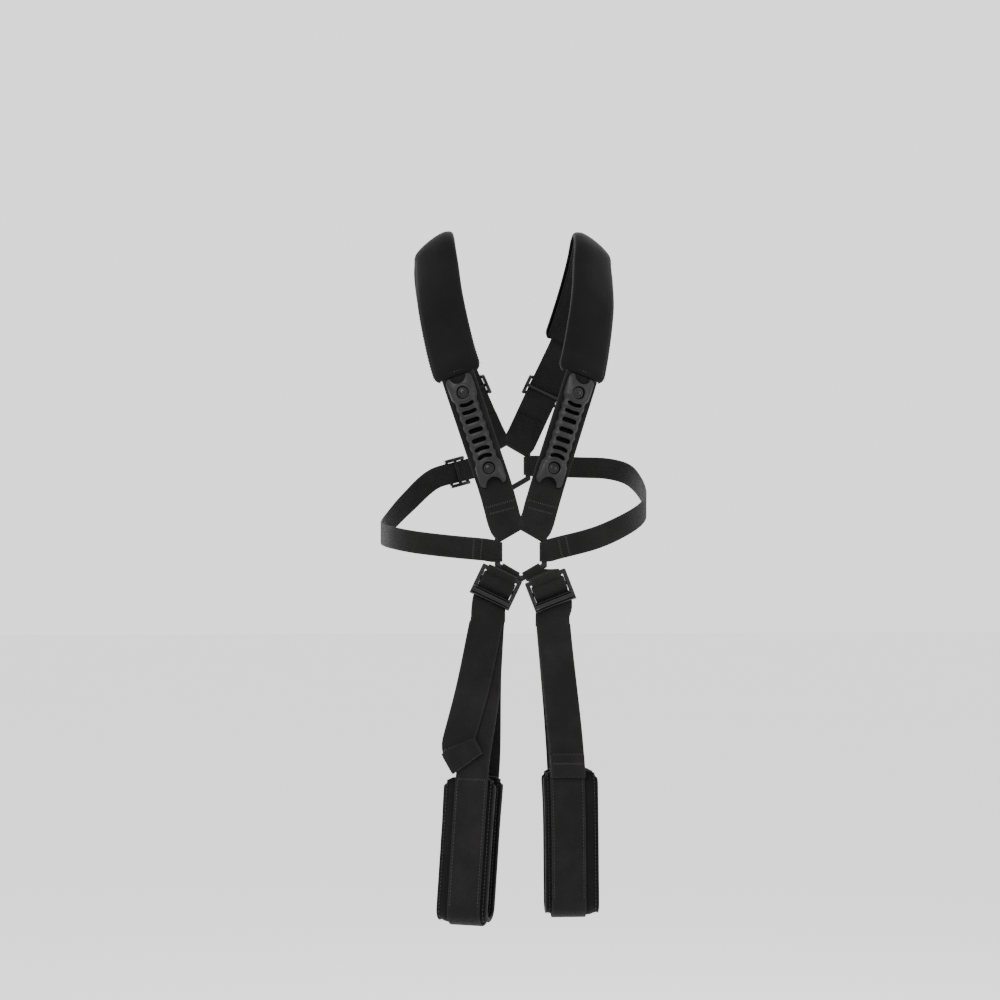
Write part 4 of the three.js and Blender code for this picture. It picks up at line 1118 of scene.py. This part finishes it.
class HARNESS_OT_sliders(HarnessOperator, bpy.types.Operator):
    """Make the three-bar sliders on the straps and the band"""

    bl_idname = "harness.sliders"
    bl_label = "Sliders"

    def make(self, scene):
        webbing = scene.harness_webbing
        round_by = scene.harness_hardware.edge_round / MM
        for side in SIDES:
            band = band_centre_line(WORN[side])
            for kind, route, distance, width in (
                    ("shoulder", SHOULDER, SLIDER_AT, webbing.strap_width / MM),
                    ("band", band, band.length - BAND_SLIDER_TO_BACK, webbing.band_width / MM)):
                piece = self.slider(f"{kind}_tri_bar_{side}", width, round_by)
                centre, across, out, _ = on_side(route, side).frame(distance)
                set_in_place(piece, centre, across, out)
                dressed(smooth(piece, 35), buckle_finish())
                settled(piece, f"{kind}_slider_{side}", "buckle_plastic", f"{kind}_slider_{side}")

    def slider(self, name, width, round_by):
        inner = width + 1.6
        gap = WEB / 2 + SOFT_FIT
        rails = [block(name, (4, 2 * gap + 6.4, 24), (side * (inner + 4) / 2, 0.8, 0),
                       round_by * 1.3, 3) for side in (-1, 1)]
        bars = [block("bar", (inner + 6, 4, 4), (0, gap + 2, end * 10), round_by, 3) for end in (-1, 1)]
        bars.append(block("bar", (inner + 6, 2.4, 4), (0, -(gap + 1.2), 0), round_by, 3))
        # Grip lines on the outer bars.
        bars += [block("line", (inner - 4, 0.9, 0.7), (0, gap + 4.1, end * 10 + step), 0.25, 1)
                 for end in (-1, 1) for step in (-0.8, 0.8)]
        return outward_normals(united(rails[0], rails[1:] + bars))


class HARNESS_OT_chest_band(HarnessOperator, bpy.types.Operator):
    """Make both halves of the chest band"""

    bl_idname = "harness.chest_band"
    bl_label = "Chest band"

    def make(self, scene):
        width = scene.harness_webbing.band_width / MM
        bars = [(*bar_middle(-FRONT, FRONT_DROP, 0), (0, -1, 0)),
                (*bar_middle(BACK, BACK_DROP, 0), (0, 1, 0))]
        for side in SIDES:
            line = band_centre_line(WORN[side])
            route = folded(line, bars, 24)
            at_bars = [near_bar(route, bar, away) for bar, away, _ in bars]

            def share(distance):
                nearest = np.minimum(*(np.abs(distance - at) for at in at_bars))
                return mix(22 / width, 1, smoothstep(nearest, 5, 12))

            band = ribbon(f"band_webbing_{side}", width, route.length, columns=6)
            there = on_side(route, side)
            shaped(band, lambda flat: there.wrap(narrowed(flat, share)))
            dressed(band, webbing_finish(width * MM / 2, "band_webbing"))
            settled(band, "harness", "webbing", f"chest_band_{side}")
            places = []
            for along in (10, 19):
                places += bar_tack(along, BAND_TACK_WIDTH, ON_WEB, 12)
            places += bar_tack(line.length - 13, BAND_TACK_WIDTH, ON_WEB, 12)
            stitches = sewn(f"band_stitches_{side}", places, on_side(line, side).wrap)
            dressed(stitches, thread_finish())
            settled(stitches, "harness", "webbing")


class HARNESS_OT_hangers(HarnessOperator, bpy.types.Operator):
    """Make the short webbing loops that hold the ladder-locks to the front ring"""

    bl_idname = "harness.hangers"
    bl_label = "Hanger loops"

    def make(self, scene):
        for side in SIDES:
            at = BucklePlace(side)
            ring_along = np.cross((0, -1, 0), at.bar_away)
            between = at.top - at.bar
            mean = unit(ring_along + at.along)
            across = between - mean * (between @ mean)
            span = np.linalg.norm(across)

            def on_bar(flat, along, origin, start):
                away = unit(across - along * (across @ along))
                proud = np.cross(along, away)
                return (origin + away * (flat[:, :1] - start) + proud * flat[:, 1:2]
                        + along * flat[:, 2:3])

            def skewed(flat):
                share = np.clip((flat[:, :1] - 4) / (span - 7), 0, 1)
                broad = flat * np.concatenate([0 * share + 1, 0 * share + 1, 1 + 0.62 * share], 1)
                place = mix(on_bar(broad, ring_along, at.bar, 0),
                            on_bar(broad, at.along, at.top, span), share)
                return place * (SIDES[side], 1, 1)

            near, far = 4.7, 3.95
            loop = []
            for radius, middle, angles in ((near, 0, range(70, 291, 20)),
                                           (far, span, range(-110, 111, 20))):
                for angle in np.radians(angles):
                    loop.append((middle + radius * math.cos(angle), radius * math.sin(angle), 0))
                if middle == 0:
                    loop.append((span / 2, -1.15, 0))
            start = np.array([(span / 2, 1.15, 0)])
            points = np.vstack([start, loop, start])
            looks = np.vstack([(0, 1, 0), unit([(x - (0 if x < span / 2 else span), y, 0)
                                                if abs(x - span / 2) > 0.1 else (0, y, 0)
                                                for x, y, _ in loop]), (0, 1, 0)])
            route = Route(points, looks, fine=10)
            web = added(f"hanger_webbing_{side}", bpy.ops.mesh.primitive_grid_add,
                        x_subdivisions=8, y_subdivisions=56, size=1)
            flat = points_of(web) * (21.6, route.length, 0) + (0, route.length / 2, 0)
            lay_uv(web, flat)
            move_points(web, route.wrap(flat))
            edited(web, (bpy.ops.mesh.remove_doubles, {"threshold": 0.05}),
                   (bpy.ops.mesh.normals_make_consistent, {"inside": False}))
            finish_with(web, "SOLIDIFY", thickness=1.8, offset=0)
            finish_with(web, "BEVEL", width=0.4, segments=2, limit_method="ANGLE",
                        angle_limit=math.radians(60))
            outward_normals(web)
            shaped(web, skewed)
            if SIDES[side] < 0:
                outward_normals(web)
            dressed(smooth(web, 60), webbing_finish(0.011, "loop_webbing"))
            settled(web, f"hanger_{side}", "webbing", f"hanger_loop_{side}")
            middle = span / 2
            tack = [(middle, z, 2.2, 90 + (18 if i % 2 else -18))
                    for i, z in enumerate(np.linspace(-9, 9, 9))]
            stitches = sewn(f"hanger_stitches_{side}", tack,
                            lambda f: skewed(f[:, [0, 2, 1]]), 2.6, 0.3)
            dressed(stitches, thread_finish())
            settled(stitches, f"hanger_{side}", "webbing")


class HARNESS_OT_buckles(HarnessOperator, bpy.types.Operator):
    """Make the two ladder-locks"""

    bl_idname = "harness.buckles"
    bl_label = "Ladder-locks"

    def make(self, scene):
        round_by = scene.harness_hardware.edge_round / MM
        for side in SIDES:
            piece = self.ladder_lock(f"ladder_lock_{side}", round_by)
            origin, along, back = BucklePlace(side).axes()
            set_in_place(piece, origin, along, back)
            dressed(smooth(piece, 35), buckle_finish())
            settled(piece, f"buckle_{side}", "buckle_plastic", f"ladder_buckle_{side}")

    def ladder_lock(self, name, round_by):
        """Top bar on X at the origin, lip below, front towards -Y."""
        outer = BUCKLE_INNER + 2 * BUCKLE_RAIL
        bar = BUCKLE_BAR
        body = block(name, (outer + 1.2, bar + 0.6, bar + 0.8), (0, 0, 0.2), 1.4 * round_by, 4)
        parts = [block("centre_bar", (outer - 2, bar, bar), (0, 0, -BUCKLE_CENTRE), round_by, 3)]
        for side in (-1, 1):
            x = side * (BUCKLE_INNER + BUCKLE_RAIL) / 2
            upper = BUCKLE_CENTRE + 6.5
            parts.append(block("rail", (BUCKLE_RAIL + 1.4, bar + 0.4, upper + bar / 2),
                               (x + side * 0.15, -0.1, -(upper - bar / 2) / 2), 1.3 * round_by, 4))
            parts.append(block("rail_foot", (BUCKLE_RAIL + 1.4, bar / 2 + FIT, LIP_END - upper + 3),
                               (x + side * 0.15, -(bar / 2 - FIT) / 2, -(LIP_END + upper - 3) / 2), 0.5, 2))
        # The lip is a wedge that stands out in front, with a rounded lower edge.
        lip = added("lip", bpy.ops.mesh.primitive_grid_add, x_subdivisions=18, y_subdivisions=20, size=1)
        flat = points_of(lip)
        x = flat[:, 0] * (outer + 1.2)
        down = LIP_START + (flat[:, 1] + 0.5) * (LIP_END - LIP_START)
        share = (down - LIP_START) / (LIP_END - LIP_START)
        ridges = (np.exp(-((share - 0.13) / 0.13) ** 2)
                  + 1.1 * np.exp(-((share - 0.84) / 0.13) ** 2))
        bulge = LIP_FRONT * (0.5 + 0.5 * np.minimum(ridges, 1))
        bulge = bulge * np.sqrt(np.clip(1 - np.clip((share - 0.86) / 0.14, 0, 1) ** 2.2, 0.02, 1))
        ends = 1 - 0.35 * np.clip((np.abs(x) - outer / 2 + 4.5) / 4.5, 0, 1) ** 2
        move_points(lip, np.stack([x, -bulge * ends, -down], -1))
        edited(lip, (bpy.ops.mesh.extrude_region_move, {}))
        flat = points_of(lip)
        select = np.array([v.select for v in lip.data.vertices])
        flat[select, 1] = FIT
        move_points(lip, flat)
        outward_normals(lip)
        parts.append(lip)
        outward_normals(united(body, parts))
        return body


class HARNESS_OT_slings(HarnessOperator, bpy.types.Operator):
    """Make the threaded webbing, the slings and their free tails"""

    bl_idname = "harness.slings"
    bl_label = "Slings"

    def make(self, scene):
        width = scene.harness_webbing.strap_width / MM
        for side in SIDES:
            sling = Sling(side)
            self.threaded(side, sling, width)
            self.loop(side, sling, width)
            self.tail(side, sling, width)

    def threaded(self, side, sling, width):
        at = BucklePlace(side)
        x, hinge = sling.worn["hinge"][0], sling.hinge
        tail_y = -(TAIL_BACK + TAIL_THICK / 2)
        bar = at.top + at.down * BUCKLE_CENTRE
        back = np.array([0, 1.0, 0])

        def local(down, behind):
            return at.top + at.down * down + back * behind

        points = [(x, tail_y, hinge - 10), (x, tail_y, hinge - 4), (x, tail_y, hinge + 1),
                  local(31, 1.5), local(25, 1.4), local(20, 0.6)]
        looks = [(0, -1, 0)] * 6
        for angle in (55, 80, 110, 145, 180, 215, 250, 280, 305):
            turn = math.radians(angle)
            way = at.down * math.cos(turn) - back * math.sin(turn)
            # The webbing stands a little loose over the top of the centre bar.
            slack = at.down * min(0, math.cos(turn)) * 4.2
            points.append(bar + way * 4.05 + slack)
            looks.append(way)
        points += [local(20, 3.5), local(26, 3.5), (x, -122.2, hinge + 1), (x, -121.8, hinge - 6),
                   (x, -121.7, hinge - 12)]
        looks += [(0, 1, 0)] * 5
        route = on_side(Route(points, looks, fine=12), side)
        web = ribbon(f"threaded_webbing_{side}", width, route.length, TAIL_THICK, 2.0, rounding=0.45)
        shaped(web, route.wrap)
        dressed(web, webbing_finish())
        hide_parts(f"strap_thread_{side}")
        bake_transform(web)

    def loop(self, side, sling, width):
        route = sling.loop(sling.hinge - 12, sling.hinge - 5, 0)
        web = ribbon(f"sling_webbing_{side}", width, route.length)
        shaped(web, lambda flat: sling.hang(route.wrap(flat)))
        dressed(web, webbing_finish())
        settled(web, f"sling_{side}", "webbing", f"sling_strap_{side}")
        places = []
        front = sling.hinge - 12
        for drop in (8, 30):
            places += bar_tack(route.length - (drop + 7), TACK_WIDTH, ON_WEB)
        # Rows of stitches hold the webbing to the cuff, from its top to its foot.
        to_cuff = front - sling.cuff_top
        to_bend = front - sling.bend
        for across in (-16.4, 16.4):
            places += seam(across, to_cuff + 6, to_bend - 2, ON_WEB, 3.8)
            places += seam(across, route.length - to_bend - 5, route.length - to_cuff - 13,
                           ON_WEB, 3.8)
        for along in (to_cuff + 5, route.length - to_cuff - 12):
            places += bar_tack(along, TACK_WIDTH, ON_WEB)
        stitches = sewn(f"sling_stitches_{side}", places, lambda flat: sling.hang(route.wrap(flat)))
        dressed(stitches, thread_finish())
        settled(stitches, f"sling_{side}", "webbing")

    def tail(self, side, sling, width):
        worn = sling.worn
        end = -FRONT_DROP - worn["tail"]
        offset = WEB / 2 + SOFT_FIT + TAIL_THICK / 2
        top = sling.hinge - 9
        count = round((top - end) / 9)
        down = sling.run(np.linspace(top, end + 1.5, count), -1, offset)
        foot = down[-1]
        points = list(down) + [foot + (0, -0.35, -1.0), foot + (0, -1.0, -1.35),
                               foot + (0, -1.65, -1.0)]
        looks = [(0, -1, 0)] * count + [(0, -0.6, 0.7), (0, 0, 1), (0, 0.6, 0.7)]
        for height in (0, 8, 16, 24):
            points.append(foot + (0, -2.0, height))
            looks.append((0, 1, 0))
        route = Route(points, looks, fine=10)
        web = ribbon(f"tail_webbing_{side}", width, route.length, TAIL_THICK, 3.0, rounding=0.45)

        def placed(flat):
            return sling.hang(route.wrap(flat), drift=worn["drift"], end=end, kink=worn["kink"])

        shaped(web, placed)
        dressed(web, webbing_finish())
        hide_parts(f"tail_strap_{side}")
        length = top - end
        on_hem = 2.98
        stitches = sewn(f"tail_stitches_{side}",
                        bar_tack(length - 24, TACK_WIDTH, on_hem)
                        + bar_tack(length - 14, TACK_WIDTH, on_hem), placed)
        dressed(stitches, thread_finish())
        for piece in (web, stitches):
            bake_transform(piece)


class HARNESS_OT_cuffs(HarnessOperator, bpy.types.Operator):
    """Make the padded cuffs folded up inside the slings"""

    bl_idname = "harness.cuffs"
    bl_label = "Cuffs"

    def make(self, scene):
        swell = scene.harness_pads.swell / MM
        half = CUFF_WIDTH / 2
        offset = -WEB / 2 - SOFT_FIT - CUFF_THICK / 2
        lengths = {side: Sling(side).loop(Sling(side).cuff_top, Sling(side).cuff_top, offset).length
                   for side in SIDES}
        flat_cuff = pillow("cuff_flat", half - 0.8, lengths["left"] - 1, CUFF_THICK - 1.6, 13, swell)
        flat = points_of(flat_cuff)
        seam_in = 5.2
        edge = np.abs(flat[:, 0]) - (half - seam_in)
        flat[:, 2] *= 1 - 0.3 * np.exp(-(edge / 1.1) ** 2)
        slack = np.sin(flat[:, 1] / 17) * np.sin(flat[:, 1] / 7.3 + flat[:, 0] / 9)
        flat[:, 2] += 0.15 * slack * np.sign(flat[:, 2])
        move_points(flat_cuff, flat)
        for side in SIDES:
            sling = Sling(side)
            route = sling.loop(sling.cuff_top, sling.cuff_top, offset)
            cuff = flat_cuff.copy()
            cuff.data = flat_cuff.data.copy()
            bpy.context.collection.objects.link(cuff)
            cuff.name = cuff.data.name = f"cuff_{side}"
            lay_uv(cuff)
            stretch = route.length / lengths["left"]

            def placed(points):
                on_route = points * (1, stretch, 1) + (0, route.length / 2, 0)
                return sling.hang(route.wrap(on_route), aside=4)

            shaped(cuff, placed)
            dressed(cuff, pad_finish(), binding_finish())
            edge = half - 4.6
            for face in cuff.data.polygons:
                u = cuff.data.uv_layers["UVMap"].data[face.loop_start].uv[0] / MM
                face.material_index = int(abs(u) > edge)
            settled(smooth(cuff, 80), f"sling_{side}", "pad_fabric", f"cuff_pad_{side}")
            places = []
            reach = route.length / 2 - 5
            for across in (-(half - 6.6), half - 6.6):
                for out in (CUFF_THICK / 2 - 0.75, -CUFF_THICK / 2 + 0.75):
                    places += seam(across, -reach, reach, out, 4.0)
            stitches = sewn(f"cuff_stitches_{side}", places, placed, 2.8, 0.34)
            dressed(stitches, thread_finish())
            settled(stitches, f"sling_{side}", "pad_fabric")
        bpy.data.objects.remove(flat_cuff, do_unlink=True)


class HARNESS_OT_stage(HarnessOperator, bpy.types.Operator):
    """Add the camera, the soft studio lights and the pale floor"""

    bl_idname = "harness.stage"
    bl_label = "Stage"

    def make(self, scene):
        stage = scene.harness_stage
        camera = added_data("camera", bpy.data.cameras.new("camera"))
        camera.location = (-0.232, -3.101, -0.296)
        camera.rotation_euler = (math.radians(90), 0, math.radians(-4))
        camera.data.lens, camera.data.sensor_width = 96.4, 36
        scene.camera = camera
        floor = added("floor", bpy.ops.mesh.primitive_plane_add, size=40,
                      location=(0, 0, -stage.floor_drop))
        material, tree, surface = finish_nodes("floor_paper", tuple(stage.tone), 0.95,
                                               specular_ior_level=0.1)
        if tree:
            place = node(tree, "TexCoord").outputs["Object"]
            cloud = noise(tree, place, 0.8, 2)
            blended_colour(tree, surface, cloud, tuple(stage.tone), tuple(0.985 * c for c in stage.tone))
            bumped(tree, surface, noise(tree, place, 300, 2), 0.0002, 0.3)
        dressed(floor, material)
        world = bpy.data.worlds.new("studio")
        scene.world = world
        world.use_nodes = True
        background = world.node_tree.nodes["Background"]
        background.inputs["Color"].default_value = (*stage.tone, 1)
        background.inputs["Strength"].default_value = stage.sky
        for name, place, size, power in (
                ("key", (-1.6, -2.2, 1.6), 1.6, 1.0), ("fill", (2.2, -2.0, 0.2), 1.8, 0.45),
                ("rim", (0.6, 2.2, 1.8), 1.5, 0.8), ("rim_low", (-1.4, 2.0, -0.6), 1.4, 0.35)):
            light = bpy.data.lights.new(name, "AREA")
            light.size, light.energy = size, stage.key_power * power
            lamp = added_data(name, light)
            lamp.location = place
            way = Vector((0, 0, -0.38)) - Vector(place)
            lamp.rotation_euler = way.to_track_quat("-Z", "Y").to_euler()


def added_data(name, data):
    item = bpy.data.objects.new(name, data)
    bpy.context.scene.collection.objects.link(item)
    return item


# ------------------------------------------------------------------ panel and start

STEPS = (
    HARNESS_OT_rings, HARNESS_OT_shoulder_straps, HARNESS_OT_pads, HARNESS_OT_grips,
    HARNESS_OT_rivets, HARNESS_OT_sliders, HARNESS_OT_chest_band, HARNESS_OT_hangers,
    HARNESS_OT_buckles, HARNESS_OT_slings, HARNESS_OT_cuffs, HARNESS_OT_stage,
)
GROUPS = {
    "harness_webbing": HarnessWebbing,
    "harness_pads": HarnessPads,
    "harness_hardware": HarnessHardware,
    "harness_stage": HarnessStage,
}


class HARNESS_PT_panel(bpy.types.Panel):
    """The harness's steps and settings"""

    bl_label = "Harness vest"
    bl_idname = "HARNESS_PT_panel"
    bl_space_type = "VIEW_3D"
    bl_region_type = "UI"
    bl_category = "Harness"

    def draw(self, context):
        for step in STEPS:
            self.layout.operator(step.bl_idname)
        for name in GROUPS:
            box = self.layout.box()
            group = getattr(context.scene, name)
            for key in group.bl_rna.properties.keys():
                if key not in {"rna_type", "name"}:
                    box.prop(group, key)


def register():
    for cls in (*GROUPS.values(), *STEPS, HARNESS_PT_panel):
        bpy.utils.register_class(cls)
    for name, group in GROUPS.items():
        setattr(bpy.types.Scene, name, bpy.props.PointerProperty(type=group))


def unregister():
    for name in GROUPS:
        delattr(bpy.types.Scene, name)
    for cls in reversed((*GROUPS.values(), *STEPS, HARNESS_PT_panel)):
        bpy.utils.unregister_class(cls)


def main():


    register()
    for step in STEPS:
        group, name = step.bl_idname.split(".")
        getattr(getattr(bpy.ops, group), name)()


if __name__ == "__main__":
    main()
